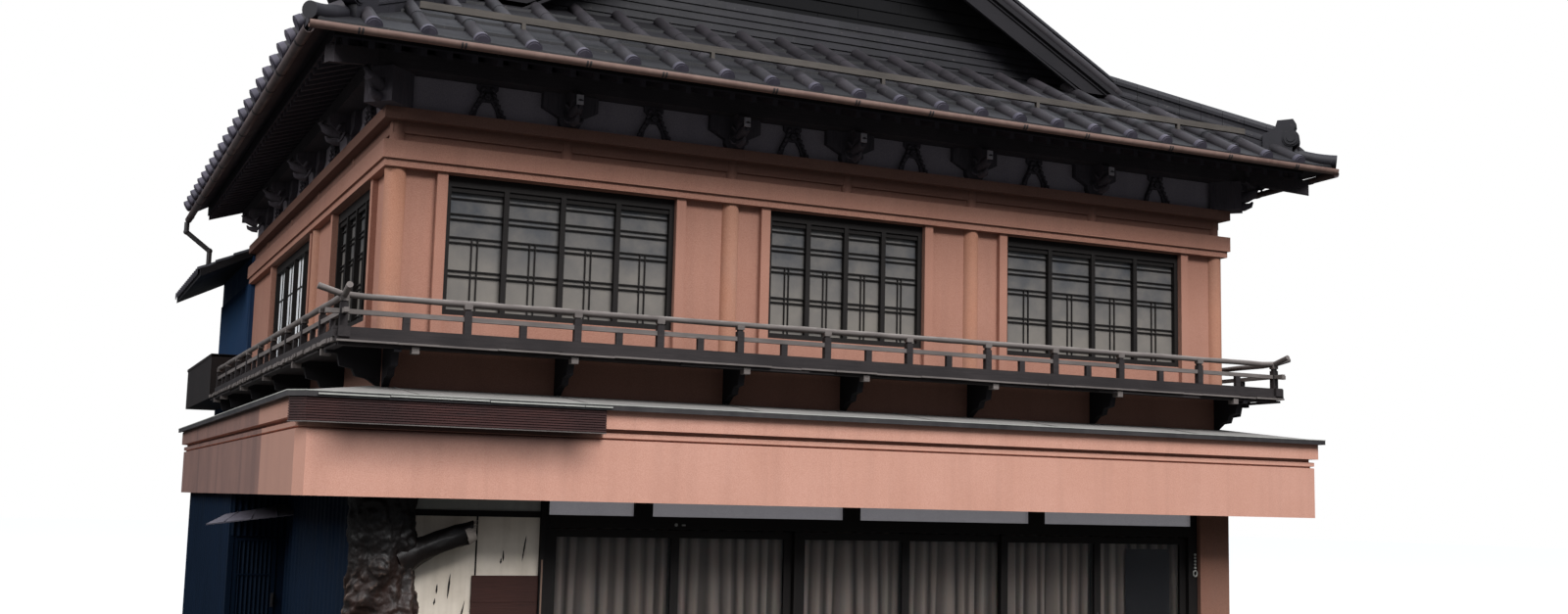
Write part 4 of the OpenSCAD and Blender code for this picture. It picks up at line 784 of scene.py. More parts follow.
# %% Sizes shared with the CAD model, in metres
HALF_WIDTH = 5.18
EAVE_REACH = 1.04
EAVE_HEIGHT = 6.665
ROOF_SLOPE = 0.55
GABLE_FACE = 1.09
VERGE = 0.76
REAR_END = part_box("side_roof_slopes")[1].y
RIDGE_HEIGHT = EAVE_HEIGHT + ROOF_SLOPE * (EAVE_REACH + HALF_WIDTH)
print("ridge at", round(RIDGE_HEIGHT, 3), "m, rear end of the roof at", round(REAR_END, 3), "m")


def roof_height(out):
    """Height of the tiles' bed at a distance out from the column axes, on the front and both sides."""
    return EAVE_HEIGHT + ROOF_SLOPE * (EAVE_REACH - out)


# %% [markdown]
# ## The roof
# A tiled slope is a set of courses. Each course is one long strip, thick at its lower lip and thin where
# the next one laps over it, so the slope steps like the real one. The strip's cross-section gives the
# kind of tile: wide shallow pans between the round ribs of the main roof, and waves with a rolled edge
# on the rear wing. Planes then cut the slope along its hips, verges and ridge.

# %% One slope of overlapping courses
COURSE_LAP, EAVE_LIP, THIN_END = 0.02, 0.05, 0.004


def tiled_slope(shape, to_place, columns, segments, pitch, courses, course, profile, lip, cuts):
    """to_place(across, up, lift) gives a point; profile(0..1) gives a tile's own height across."""
    strip = []
    for i in range(columns * segments + 1):
        inside = (i % segments) / segments
        strip.append((i * pitch / segments, profile(inside)))
    work = bmesh.new()
    for j in range(courses):
        low, high = j * course, (j + 1) * course + COURSE_LAP
        drop = EAVE_LIP if j == 0 else THIN_END
        rows = []
        for up, lift in ((low, -drop), (low, lip), (low + 0.35 * course, lip * 0.72), (high, THIN_END)):
            share = 1.0 if lift > 0 else 0.8
            rows.append([work.verts.new(to_place(a, up, lift + h * share)) for a, h in strip])
        for below, above in zip(rows, rows[1:]):
            for i in range(len(strip) - 1):
                work.faces.new((below[i], below[i + 1], above[i + 1], above[i]))
    for point, normal in cuts:
        everything = work.verts[:] + work.edges[:] + work.faces[:]
        bmesh.ops.bisect_plane(work, geom=everything, plane_co=point, plane_no=normal, clear_outer=True)
    work.verts.index_update()
    shape.add([v.co.copy() for v in work.verts], [[v.index for v in f.verts] for f in work.faces])
    work.free()


def plane(point, normal):
    """A cutting plane: what lies on the side that its normal points to is cut away."""
    return Vector(point), Vector(normal)


# %% [markdown]
# On the side slopes and the front the pans are nearly flat. A side slope is laid in two parts: the low
# one ends at the hip, and the high one runs on behind the gable up to the ridge. Both are counted from
# the rearmost rib forwards, as the tilers would set them out. The right side is a mirrored copy.

# %% Side slopes
RIB_PITCH = 0.515
PAN_COURSE, PAN_LIP, PAN_STEPS = 0.425, 0.034, 6
SIDE_BED = 0.045
LOW_EDGE = EAVE_REACH + 0.035
REAR_RIB = REAR_END - 0.195


def pan_tile(inside):
    """A pan: nearly flat, turned up where it runs under the ribs."""
    edge = abs(inside - 0.5) * 2
    return 0.028 * edge**4


def pan_slope(shape, to_place, columns, courses, cuts):
    tiled_slope(
        shape, to_place, columns, PAN_STEPS, RIB_PITCH, courses, PAN_COURSE, pan_tile, PAN_LIP, cuts
    )


def side_point(split):
    """Places for pans that start at a distance split up from the eave."""
    def place(across, up, lift):
        out = LOW_EDGE - split - up
        height = roof_height(out) + SIDE_BED + lift
        return Vector((HALF_WIDTH + out, REAR_RIB + RIB_PITCH - across, height))

    return place


side_slopes = Shape()
rear_cut = plane((0, REAR_END, 0), (0, 1, 0))
hip_cut = plane((HALF_WIDTH, 0, 0), (-1, -1, 0))
verge_cut = plane((0, VERGE, 0), (0, -1, 0))
ridge_cut = plane((0.02, 0, 0), (-1, 0, 0))
low_courses = round((LOW_EDGE + VERGE) / PAN_COURSE)
columns = math.ceil((REAR_END + LOW_EDGE) / RIB_PITCH) + 1
pan_slope(side_slopes, side_point(0.0), columns, low_courses, [rear_cut, hip_cut])
split = low_courses * PAN_COURSE
high_courses = math.ceil((HALF_WIDTH + LOW_EDGE - split) / PAN_COURSE)
pan_slope(side_slopes, side_point(split), columns, high_courses, [rear_cut, verge_cut, ridge_cut])
side_slopes.both_sides()
side_slopes.build("side_slope_tiles", side_tiles, "roof_tiles")

# %% [markdown]
# The front slope has the same pans, counted from its middle and cut by both hips and the gable's face.

# %% Front slope
RIB_COUNT = 23
FRONT_COURSES = 5
front_slope = Shape()


def front_point(across, up, lift):
    out = LOW_EDGE - up
    return Vector((across - RIB_PITCH * (RIB_COUNT + 1) / 2, -out, roof_height(out) + lift))


front_cuts = [
    plane((HALF_WIDTH, 0, 0), (1, 1, 0)),
    plane((-HALF_WIDTH, 0, 0), (-1, 1, 0)),
    plane((0, GABLE_FACE - 0.05, 0), (0, 1, 0)),
]
pan_slope(front_slope, front_point, RIB_COUNT + 1, FRONT_COURSES, front_cuts)
front_slope.build("front_slope_pans", pan_tiles, "roof_tiles")

# %% [markdown]
# The ribs are rows of half-round tiles bedded over the joints of the pans. Each tile is a little wider
# at its lower end, where it grips the one below, and the lowest one is closed by a round disc with a rim.
# Whole round bars do for the half-round tiles, since their lower halves are hidden in the pans.

# %% Round ribs with their end discs
RIB_RADIUS = 0.076
RIB_MOUTH, RIB_NECK = RIB_RADIUS + 0.0015, RIB_RADIUS - 0.002
RIB_BED = 0.036
RIB_TILE = 0.685
RIB_LAP = 0.02
SIDE_RIB_OUT = 1.13
SHORTEST_RIB = 0.1


def rib_run(shape, discs, low, high):
    """A row of round tiles from the eave upwards, closed by its end disc."""
    run = (high - low).length
    tiles = max(1, round(run / RIB_TILE))
    for k in range(tiles):
        a, b = low.lerp(high, k / tiles), low.lerp(high, (k + 1) / tiles + RIB_LAP / run)
        shape.bar(a, b, RIB_MOUTH, 18, RIB_NECK)
    along = (high - low).normalized()
    discs.tube([low - along * 0.012, low + along * 0.05], [RIB_RADIUS + 0.006] * 2, 24)
    discs.tube([low - along * 0.02, low - along * 0.01], [RIB_RADIUS - 0.012, RIB_RADIUS - 0.01], 24)


def side_rib_point(out, y):
    return Vector((HALF_WIDTH + out, y, roof_height(out) + SIDE_BED + RIB_BED))


ribs = Shape()
discs = Shape()
y = REAR_RIB
while y > -EAVE_REACH:
    top = 0.14 - HALF_WIDTH if y > VERGE else -y
    if SIDE_RIB_OUT - top > SHORTEST_RIB:
        rib_run(ribs, discs, side_rib_point(SIDE_RIB_OUT, y), side_rib_point(top, y))
    y -= RIB_PITCH
ribs.both_sides()
discs.both_sides()
for i in range(RIB_COUNT):
    x = (i - (RIB_COUNT - 1) / 2) * RIB_PITCH
    start, stop = -EAVE_REACH - 0.02, min(GABLE_FACE - 0.12, HALF_WIDTH - abs(x) - 0.02)
    if stop - start > SHORTEST_RIB:
        low, high = [Vector((x, y, roof_height(-y) + RIB_BED)) for y in (start, stop)]
        rib_run(ribs, discs, low, high)
rib_piece = soft_edges(ribs.build("round_rib_tiles", rib_tiles, "roof_tiles"))
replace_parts(rib_piece, "tile_ribs")
soft_edges(discs.build("rib_end_discs", tile_ends, "roof_tiles"))

# %% [markdown]
# Ridges are built in layers: flat courses laid on mortar, each a little wider or narrower than the one
# below, a tall rounded body, and a row of round tiles on top. One outline does for all of them, because
# only its width and height change.

# %% Layered ridges
RIDGE_STEPS = [
    # half the outline from foot to cap: half width and height, as shares of the ridge's own
    (0.50, -0.16), (0.50, 0.10), (0.44, 0.10), (0.44, 0.16), (0.50, 0.16),
    (0.50, 0.24), (0.40, 0.26), (0.36, 0.42), (0.38, 0.58), (0.46, 0.64),
    (0.46, 0.72), (0.34, 0.73), (0.34, 0.80), (0.24, 0.94), (0.09, 1.0),
]
RIDGE_TILE, RIDGE_JOINT = 0.3, 0.004


def ridge_run(shape, start, end, width, height):
    """A ridge from start to end, in tiles with fine joints between them."""
    start, end = Vector(start), Vector(end)
    level = Vector((end.x - start.x, end.y - start.y, 0)).normalized()
    side = Vector((-level.y, level.x, 0))
    half = [(w * width, h * height) for w, h in RIDGE_STEPS]
    outline = half + [(-w, h) for w, h in reversed(half)]
    count = max(1, round((end - start).length / RIDGE_TILE))
    for k in range(count):
        a = start.lerp(end, k / count)
        b = start.lerp(end, (k + 1) / count - RIDGE_JOINT / RIDGE_TILE / count)
        swell = 1.0 + 0.012 * (k % 2)
        shape.rings([[p + side * w * swell + upward(h) for w, h in outline] for p in (a, b)])


ridges = Shape()
front_end, rear_end = [(0, y, RIDGE_HEIGHT - 0.02) for y in (VERGE - 0.05, REAR_END - 0.02)]
ridge_run(ridges, front_end, rear_end, width=0.27, height=0.42)
for side in (-1, 1):
    low = (side * (HALF_WIDTH + 0.68), -0.68, roof_height(0.68) + 0.02)
    high = (side * (HALF_WIDTH - GABLE_FACE + 0.06), GABLE_FACE - 0.06, roof_height(0.06 - GABLE_FACE) + 0.02)
    ridge_run(ridges, low, high, width=0.21, height=0.30)
    foot = (side * (HALF_WIDTH - VERGE - 0.05), VERGE + 0.14, roof_height(-VERGE - 0.05) + 0.02)
    top = (side * 0.14, VERGE + 0.14, RIDGE_HEIGHT - 0.05)
    ridge_run(ridges, foot, top, width=0.25, height=0.27)
ridge_piece = ridges.build("layered_ridges", ridge_tiles, "roof_tiles")
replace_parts(ridge_piece, "roof_ridges")

# %% [markdown]
# The end tiles close each ridge. On the hips they are a drum with ringed ends and an upright block
# behind it. Below them the eave's corner is closed by a thick round tile that kicks upwards. Bars and
# pushed outlines are enough for them, because from the street only their outlines show.

# %% End tiles of the ridges
def hip_end_tile(shape, side):
    """A drum across the hip with ringed faces, standing before an upright block."""
    out = Vector((side, -1, 0)).normalized()
    across = Vector((out.y, -out.x, 0))
    foot = Vector((side * (HALF_WIDTH + 0.70), -0.70, roof_height(0.70)))
    drum = foot + upward(0.20)
    for reach, radius in ((0.15, 0.105), (0.165, 0.085), (0.175, 0.05)):
        shape.bar(drum - across * reach, drum + across * reach, radius, 20)
    block = [(-0.34, -0.08), (0.0, -0.08), (0.02, 0.12), (0.03, 0.30), (0.07, 0.38)]
    block += [(0.03, 0.45), (-0.16, 0.44), (-0.20, 0.32), (-0.34, 0.28)]
    shape.rings([[foot + out * reach + across * w + upward(h) for reach, h in block] for w in (-0.14, 0.14)])


def corner_round_tile(shape, side):
    """The thick round tile along the foot of the hip, turned up at the eave's corner."""
    path = []
    for k in range(7):
        out = 0.72 + 0.36 * k / 6
        rise = 0.075 * (k / 6) ** 2
        path.append((side * (HALF_WIDTH + out), -out, roof_height(out) + 0.03 + rise))
    shape.tube(path, [0.078, 0.079, 0.08, 0.081, 0.082, 0.083, 0.084], 18)


ridge_ends = Shape()
for side in (-1, 1):
    hip_end_tile(ridge_ends, side)
    corner_round_tile(ridge_ends, side)
half = [(0.06, 0.56), (0.11, 0.46), (0.20, 0.33), (0.21, 0.20), (0.30, 0.06), (0.33, -0.17)]
gable_tile = [(-x, z) for x, z in reversed(half)] + half + [(0.18, -0.09), (0.0, -0.02), (-0.18, -0.09)]
ridge_ends.push([(x, RIDGE_HEIGHT + z) for x, z in gable_tile], 0.63, 0.699)
ridge_ends.bar((0, 0.60, RIDGE_HEIGHT + 0.24), (0, 0.64, RIDGE_HEIGHT + 0.24), 0.09, 20)
soft_edges(ridge_ends.build("ridge_end_tiles", ridge_tiles, "roof_tiles"))

# %% [markdown]
# ## Eaves and gable
# From below, the ends of the ribs show as a row of teeth over the gutter. The gutter is a half round
# trough made of lengths that slip into each other, so it has a pair of thin rings at each joint. The
# joints are never quite evenly spaced. Flat straps hold the side gutters under the roof's edge.

# %% Sizes and joints of the gutters
GUTTER_OUT = EAVE_REACH + 0.035
GUTTER_RADIUS, GUTTER_DEEP = 0.049, 0.012
FRONT_RIM, SIDE_RIM = 6.645, 6.59
LEFT_FALL, RIGHT_FALL = 0.006, 0.02
FRONT_JOINTS, SIDE_JOINTS = 12, 11
RING_RADIUS, RING_THICK, RING_HALF = GUTTER_RADIUS + 0.005, 0.006, 0.009


def gutter_rings(shape, start, end, count):
    """Two thin half rings round the gutter's outside at each of its joints."""
    along = (end - start).normalized()
    side, up = side_and_up(along)
    arc = [side * math.cos(t) + up * math.sin(t) for t in [math.pi * (1 + i / 12) for i in range(13)]]
    for k in range(count):
        middle = start.lerp(end, (k + random.uniform(0.3, 0.7)) / count)
        for shift in (0.0, 0.034):
            rings = []
            for reach in (shift - RING_HALF, shift + RING_HALF):
                outer = [middle + along * reach + p * RING_RADIUS for p in arc]
                inner = [middle + along * reach + p * (RING_RADIUS - RING_THICK) for p in reversed(arc)]
                rings.append(outer + inner)
            shape.rings(rings)


def gutter_trough(shape, start, end):
    """A half round below two short upright sides, open on top."""
    across = side_and_up((end - start).normalized())[0]
    turns = [math.pi * (1 + i / 16) for i in range(17)]
    rings = []
    for point in (start, end):
        low = point - upward(GUTTER_DEEP)
        outer = [point + across * -GUTTER_RADIUS + upward(0.004)]
        outer += [low + (across * math.cos(t) + upward(math.sin(t))) * GUTTER_RADIUS for t in turns]
        outer += [point + across * GUTTER_RADIUS + upward(0.004)]
        inner = [point + (p - point) * 0.94 for p in reversed(outer)]
        rings.append(outer + inner)
    shape.rings(rings)


# %% [markdown]
# The front gutter is level. The side gutters hang a little lower and fall towards the rear, the right
# one more than the left. Their paint is a darker copy, painted shade since the sky lights the sides less, so
# they are an object of their own.

# %% Gutters round the eaves, with their straps
STRAP_STEP, STRAP_COUNT, STRAP_WIDE, STRAP_HALF = 1.2, 9, 0.03, 0.003
joints, front_trough, side_troughs = Shape(), Shape(), Shape()
corner = HALF_WIDTH + GUTTER_OUT
left_front, right_front = [Vector((x, -GUTTER_OUT, FRONT_RIM)) for x in (-corner, corner)]
runs = [(left_front, right_front, FRONT_JOINTS, front_trough)]
for side, fall in ((-1, LEFT_FALL), (1, RIGHT_FALL)):
    start = Vector((side * corner, -GUTTER_OUT, SIDE_RIM + fall * GUTTER_OUT))
    end = Vector((side * corner, REAR_END, SIDE_RIM - fall * REAR_END))
    runs.append((start, end, SIDE_JOINTS, side_troughs))
    strap_x = side * (HALF_WIDTH + EAVE_REACH - 0.008)
    for k in range(STRAP_COUNT):
        y = 0.2 + k * STRAP_STEP
        low = (strap_x - STRAP_HALF, y, SIDE_RIM - fall * y - 0.01)
        joints.box(low, (strap_x + STRAP_HALF, y + STRAP_WIDE, roof_height(EAVE_REACH) - 0.01))
for start, end, count, trough in runs:
    gutter_trough(trough, start, end)
    gutter_rings(joints, start - upward(GUTTER_DEEP), end - upward(GUTTER_DEEP), count)
for trough, name, finish in (
    (front_trough, "front_gutter", copper_paint),
    (side_troughs, "side_gutters", shaded_side_copper),
):
    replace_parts(soft_edges(trough.build(name, finish, "copper_gutter"), 40), "gutters")
joints.build("gutter_joints", black_metal, "copper_gutter")

# %% [markdown]
# The gable is closed by boards laid level, each lapping the one below. Every row is made of a few boards
# of uneven length, cut at a slant where they meet the roof.

# %% Boards of the gable
GABLE_FOOT = roof_height(-GABLE_FACE)
BOARD, BOARD_GAP = 0.155, 0.004
TOP_MARGIN = 0.16
gable = Shape()
rows = int((RIDGE_HEIGHT - GABLE_FOOT) / BOARD)
for k in range(2, rows):
    z0 = GABLE_FOOT + k * BOARD
    half = (RIDGE_HEIGHT - TOP_MARGIN - z0) / ROOF_SLOPE
    if half < 0.1:
        continue
    x = -half
    while x < half:
        x_end = min(x + random.uniform(1.3, 2.2), half)
        tilt = random.uniform(0.0, 0.004)
        outline = [
            (GABLE_FACE - 0.003, z0),
            (GABLE_FACE - 0.022 - tilt, z0),
            (GABLE_FACE - 0.008 - tilt, z0 + BOARD),
            (GABLE_FACE - 0.003, z0 + BOARD),
        ]
        slant = BOARD / ROOF_SLOPE if x_end >= half else 0.0
        lead = BOARD / ROOF_SLOPE if x <= -half else 0.0
        left = [(x + lead * (z - z0) / BOARD, y, z) for y, z in outline]
        right = [(x_end - BOARD_GAP - slant * (z - z0) / BOARD, y, z) for y, z in outline]
        if right[2][0] > left[2][0]:
            gable.rings([left, right])
        x = x_end
gable.build("gable_boards", gable_boards, "dark_boards")

# %% [markdown]
# The barge boards in front of the gable carry raised mouldings that follow the slope. A strip with two
# bevelled edges catches the light as a carved moulding does.

# %% Mouldings of the barge boards
BARGE_FACE = 0.6995
barge = Shape()


def barge_strip(shape, below, high, proud):
    """A strip along the barge board: how far its top lies below the slope, its height, its depth."""
    inner, outer = 0.012, HALF_WIDTH - VERGE - 0.05
    for side in (-1, 1):
        rings = []
        for x in (inner, outer):
            top = RIDGE_HEIGHT - ROOF_SLOPE * x - below
            profile = [(0.001, top), (-proud, top - 0.012), (-proud, top - high + 0.012), (0.001, top - high)]
            rings.append([(side * x, BARGE_FACE + y, z) for y, z in profile])
        shape.rings(rings)


for below, high, proud in ((0.02, 0.085, 0.034), (0.125, 0.035, 0.018), (0.36, 0.05, 0.022)):
    barge_strip(barge, below, high, proud)
barge.build("barge_mouldings", sooty_timber, "weathered_timber")

# %% [markdown]
# ## Bracket zone under the eaves
# Between the bracket sets the wall is grey plaster. The CAD wall runs on behind them in one piece, so
# the grey is a skin a little over a centimetre thick that is laid on it.

# %% Plaster between the brackets
grey_plaster = roughcast("grey_plaster", rgb(150, 142, 152), rgb(166, 158, 164), rgb(112, 105, 112))
PLATE_TOP, PURLIN_FOOT = 6.171, 6.53
WALL_FACE, SKIN, WALL_REAR = 0.04, 0.012, 10.1
infill = Shape()
low = (-HALF_WIDTH, -WALL_FACE - SKIN, PLATE_TOP + 0.001)
infill.box(low, (HALF_WIDTH, -WALL_FACE + 0.002, PURLIN_FOOT))
for side in (-1, 1):
    wall, skin = side * (HALF_WIDTH + WALL_FACE - 0.002), side * (HALF_WIDTH + WALL_FACE + SKIN)
    infill.box((min(wall, skin), 0.0, PLATE_TOP + 0.001), (max(wall, skin), WALL_REAR, PURLIN_FOOT))
infill.build("bracket_zone_plaster", grey_plaster, "terracotta_plaster")

# %% [markdown]
# Each bracket set carries a carved nose at its front. Carving like this would take days, and from the
# street it reads as curls and knobs, so it is suggested by a few curled tubes: brow and snout, jaw,
# ears, and a spiral behind. The front noses end in a pale weathered block.

# %% Carved noses and curls
FRONT_SETS = [-3.429, -1.544, -0.118, 1.544, 3.277]
SIDE_SETS = [2.011, 4.274, 6.431, 8.712]
FRONT_POSTS = [-HALF_WIDTH] + FRONT_SETS + [HALF_WIDTH]
SIDE_POSTS = [0.0] + SIDE_SETS
NOSE_OUT, NOSE_RISE = 0.135, 0.03


def side_place(side, out, y=0.0, z=0.0):
    """Turns a piece made at the front to face one side, at a distance out from the column axes."""
    turn = Matrix.Rotation(side * math.pi / 2, 4, "Z")
    return Matrix.Translation((side * (HALF_WIDTH + out), y, z)) @ turn


def carved_nose(shape, place, size=1.0):
    """A curled nose that points along -Y of place."""
    def at(x, y, z):
        return place @ Vector((x * size, y * size, z * size))

    curl = ((-0.10, 0.10), (-0.19, 0.12), (-0.27, 0.15), (-0.31, 0.20), (-0.27, 0.24))
    snout = [at(0, y, z) for y, z in curl]
    shape.tube(snout, [r * size for r in (0.062, 0.058, 0.046, 0.034, 0.016)], 10)
    jaw = [at(0, y, z) for y, z in ((-0.10, 0.02), (-0.17, 0.015), (-0.23, 0.03), (-0.25, 0.065))]
    shape.tube(jaw, [r * size for r in (0.05, 0.04, 0.026, 0.010)], 10)
    for side in (-1, 1):
        ear = [at(side * 0.05, -0.13, 0.14), at(side * 0.085, -0.11, 0.19), at(side * 0.07, -0.06, 0.22)]
        shape.tube(ear, [r * size for r in (0.024, 0.02, 0.008)], 8)
        turns = [0.6 * k for k in range(9)]
        spiral = [
            at(side * 0.06 + side * 0.045 * math.sin(t), -0.045 - 0.02 * t, 0.06 + 0.05 * math.cos(t))
            for t in turns
        ]
        shape.tube(spiral, [0.018 * size - 0.0012 * size * k for k in range(9)], 8)


noses = Shape()
for x in FRONT_SETS:
    carved_nose(noses, Matrix.Translation((x, -NOSE_OUT, PLATE_TOP + NOSE_RISE)))
for side in (-1, 1):
    for y in SIDE_SETS:
        carved_nose(noses, side_place(side, NOSE_OUT, y, PLATE_TOP + NOSE_RISE))
    turn = Matrix.Rotation(math.radians(45 * side), 4, "Z")
    place = Matrix.Translation((side * (HALF_WIDTH + 0.14), -0.14, PLATE_TOP + NOSE_RISE))
    carved_nose(noses, place @ turn, 1.25)
tips = Shape()
for x in FRONT_SETS:
    tips.box((x - 0.04, -0.457, PLATE_TOP + 0.19), (x + 0.03, -0.438, PLATE_TOP + 0.29))
tips.build("nose_tips", nose_timber, "weathered_timber")
soft_edges(noses.build("carved_noses", carved_timber, "weathered_timber", smooth=True), 50)

# %% [markdown]
# The struts between the sets spread like a frog's legs and are covered with leaves round a flower. Rows
# of short curled tubes stand for the leaves, smaller ones for the petals.

# %% Leaf carving on the frog-leg struts
struts = Shape()


def carved_leaves(shape, place):
    """Rows of small curled leaves that cover a strut's legs."""
    for side in (-1, 1):
        for k in range(6):
            share = k / 5
            x = side * (0.035 + 0.12 * share**1.3)
            z = 0.30 - 0.27 * share
            tip = place @ Vector((x + side * 0.035, -0.020, z - 0.03))
            root = place @ Vector((x - side * 0.005, -0.006, z + 0.02))
            middle = place @ Vector((x + side * 0.022, -0.028, z + 0.005))
            shape.tube([root, middle, tip], [0.018, 0.02, 0.006], 8)
    flower = place @ Vector((0, -0.01, 0.235))
    for k in range(6):
        turn = 2 * math.pi * k / 6
        petal = flower + (place.to_3x3() @ Vector((0.035 * math.cos(turn), -0.012, 0.035 * math.sin(turn))))
        shape.tube([flower, petal], [0.012, 0.018], 8)


STRUT_FACE = WALL_FACE + 0.045
for a, b in zip(FRONT_POSTS, FRONT_POSTS[1:]):
    carved_leaves(struts, Matrix.Translation(((a + b) / 2, -STRUT_FACE, PLATE_TOP)))
for side in (-1, 1):
    for a, b in zip(SIDE_POSTS, SIDE_POSTS[1:]):
        carved_leaves(struts, side_place(side, STRUT_FACE, (a + b) / 2, PLATE_TOP))
struts.build("strut_carving", carved_timber, "weathered_timber", smooth=True)

# %% [markdown]
# ## Upper windows
# Each front sash is a lattice: one thin bar under a dark head, then pairs of bars, and from the second
# pair down an upright pair in the middle. The bars stand just in front of the frosted panes. They are
# plain boxes, because at this distance their spacing shows and their joints don't.

# %% Lattices of the front windows
SILL, WINDOW_TOP = 4.14, 5.56
SASH = 0.055
FRONT_WINDOWS = [(-4.671, -2.194), (-1.084, 0.889), (2.017, 4.604)]
SIDE_FRONT_WINDOW = (0.74, 2.96)
SIDE_REAR_WINDOW = (4.56, 7.88)
PANELS = 4
BAR, BAR_FRONT, BAR_BACK = 0.006, 0.010, 0.027
LEVELS = [5.34, 5.18, 5.125, 4.942, 4.888, 4.600, 4.547, 4.250, 4.195]
PAIR_TOP, HEAD_FOOT = 4.942, 5.40


def window_panes(window):
    """Left and right edge of each glazed panel of a window."""
    step = (window[1] - window[0] - SASH) / PANELS
    return [(window[0] + SASH + i * step, window[0] + (i + 1) * step) for i in range(PANELS)]


def lattice(shape, window, place=None):
    for left, right in window_panes(window):
        for z in LEVELS:
            shape.box((left, BAR_FRONT, z - BAR), (right, BAR_BACK, z + BAR), place)
        middle, spread = (left + right) / 2, 0.055 * (right - left)
        for x in (middle - spread, middle + spread):
            low, high = (x - BAR, BAR_FRONT + 0.001, SILL + SASH), (x + BAR, BAR_BACK - 0.001, PAIR_TOP)
            shape.box(low, high, place)
        shape.box((left, -0.012, HEAD_FOOT), (right, 0.020, WINDOW_TOP - 0.05), place)


def on_side(side):
    """Turns a piece made along X for the front into the same piece along Y for one side."""
    return Matrix(((0, -side, 0, side * HALF_WIDTH), (1, 0, 0, 0), (0, 0, 1, 0), (0, 0, 0, 1)))


front_lattice = Shape()
for window in FRONT_WINDOWS:
    lattice(front_lattice, window)
for side in (-1, 1):
    lattice(front_lattice, SIDE_FRONT_WINDOW, on_side(side))
front_lattice.build("window_lattices", joinery, "dark_frame")

# %% [markdown]
# The rear windows of the sides have plain grids: two uprights and two level bars in each panel. Pale
# screens lie on their panes, since these windows look much brighter than the front ones.

# %% Plain grids and screens of the rear side windows
GRID_LEVELS = (4.58, 5.05)
grids = Shape()
for side in (-1, 1):
    for left, right in window_panes(SIDE_REAR_WINDOW):
        for share in (1 / 3, 2 / 3):
            x = left + (right - left) * share
            grids.box((x - 0.008, 0.016, SILL + SASH), (x + 0.008, 0.028, WINDOW_TOP - 0.1), on_side(side))
        for z in GRID_LEVELS:
            grids.box((left, 0.017, z - 0.009), (right, 0.028, z + 0.009), on_side(side))
grids.build("window_grids", joinery, "dark_frame")

screens = Shape()
for side in (-1, 1):
    for left, right in window_panes(SIDE_REAR_WINDOW):
        screens.box((left, 0.0284, SILL + SASH), (right, 0.0296, WINDOW_TOP - SASH), on_side(side))
screen_film = roughcast("screen_film", rgb(222, 224, 226), rgb(232, 232, 232), rgb(190, 190, 190))
screens.build("side_window_screens", screen_film, "obscured_glass")

# %% [markdown]
# ## Balcony
# The rails are old round poles and squared timber, greyed by the weather. At each corner they cross and
# run on, and the top rail's tip turns up. Square posts stand on a broad plank, with a block that cups
# the top rail. A little bend and a changing thickness keep the poles from looking machined.

# %% Rails, posts and crossing tips
DECK_TOP = 3.80
RAIL_OUT = 0.52
FRONT_RAIL_POSTS = [-5.70, -4.513, -3.393, -2.503, -1.603, -0.573, 0.447, 1.477, 2.397, 3.337, 4.517, 5.70]
SIDE_RAIL_POSTS = [-0.52] + [0.65 + 1.14 * k for k in range(9)]
TOP_RAIL = DECK_TOP + 0.40
MID_RAIL = DECK_TOP + 0.25
POLE_RADIUS, POLE_TIP, TIP_RISE, BEND_LENGTH = 0.031, 0.25, 0.075, 0.34
PLANK_TOP, POST_FOOT, POST_TOP = DECK_TOP + 0.092, DECK_TOP + 0.10, TOP_RAIL - 0.075


def pole(shape, start, end, up_start, up_end):
    """A slightly uneven pole whose ends may turn up."""
    start, end = Vector(start), Vector(end)
    length = (end - start).length
    count = max(8, int(length / 0.22))
    path, radii = [], []
    for k in range(count + 1):
        share = k / count
        lift = up_start * max(0.0, 1 - share * length / BEND_LENGTH) ** 2
        lift += up_end * max(0.0, 1 - (1 - share) * length / BEND_LENGTH) ** 2
        path.append(start.lerp(end, share) + upward(lift + random.uniform(-0.002, 0.002)))
        radii.append(POLE_RADIUS * random.uniform(0.95, 1.05))
    shape.tube(path, radii, 14)


def rail_line(shape, planks, posts, place, far_tip):
    """Plank, rails and posts of one balustrade along X. Its far end runs on where far_tip is 1."""
    first, last = posts[0], posts[-1]
    near, far = first - 0.10, last + 0.10 * far_tip
    planks.box((near, -0.055, DECK_TOP), (far, 0.055, PLANK_TOP), place)
    planks.box((near + 0.004, -0.048, PLANK_TOP), (far - 0.004, 0.048, POST_FOOT), place)
    high = (last + 0.17 * far_tip, 0.024, MID_RAIL + 0.020)
    shape.box((first - 0.17, -0.024, MID_RAIL - 0.026), high, place)
    top_pole = Shape()
    start, end = (first - POLE_TIP, 0, TOP_RAIL), (last + POLE_TIP * far_tip, 0, TOP_RAIL)
    pole(top_pole, start, end, TIP_RISE, TIP_RISE * far_tip)
    shape.add(top_pole.points, top_pole.faces, place)
    cup = [(-0.038, -0.055), (0.038, -0.055), (0.042, -0.02)]
    cup += [(0.036, 0.004), (-0.036, 0.004), (-0.042, -0.02)]
    for x in posts if far_tip else posts[1:]:
        planks.box((x - 0.037, -0.034, POST_FOOT), (x + 0.037, 0.034, POST_TOP), place)
        planks.box((x - 0.026, -0.026, POST_TOP), (x + 0.026, 0.026, TOP_RAIL - 0.055), place)
        shape.push([(x + a, TOP_RAIL + b) for a, b in cup], -0.034, 0.034, place)
    for a, b in zip(posts, posts[1:]):
        x = (a + b) / 2
        planks.box((x - 0.035, -0.024, POST_FOOT), (x + 0.035, 0.024, MID_RAIL - 0.024), place)


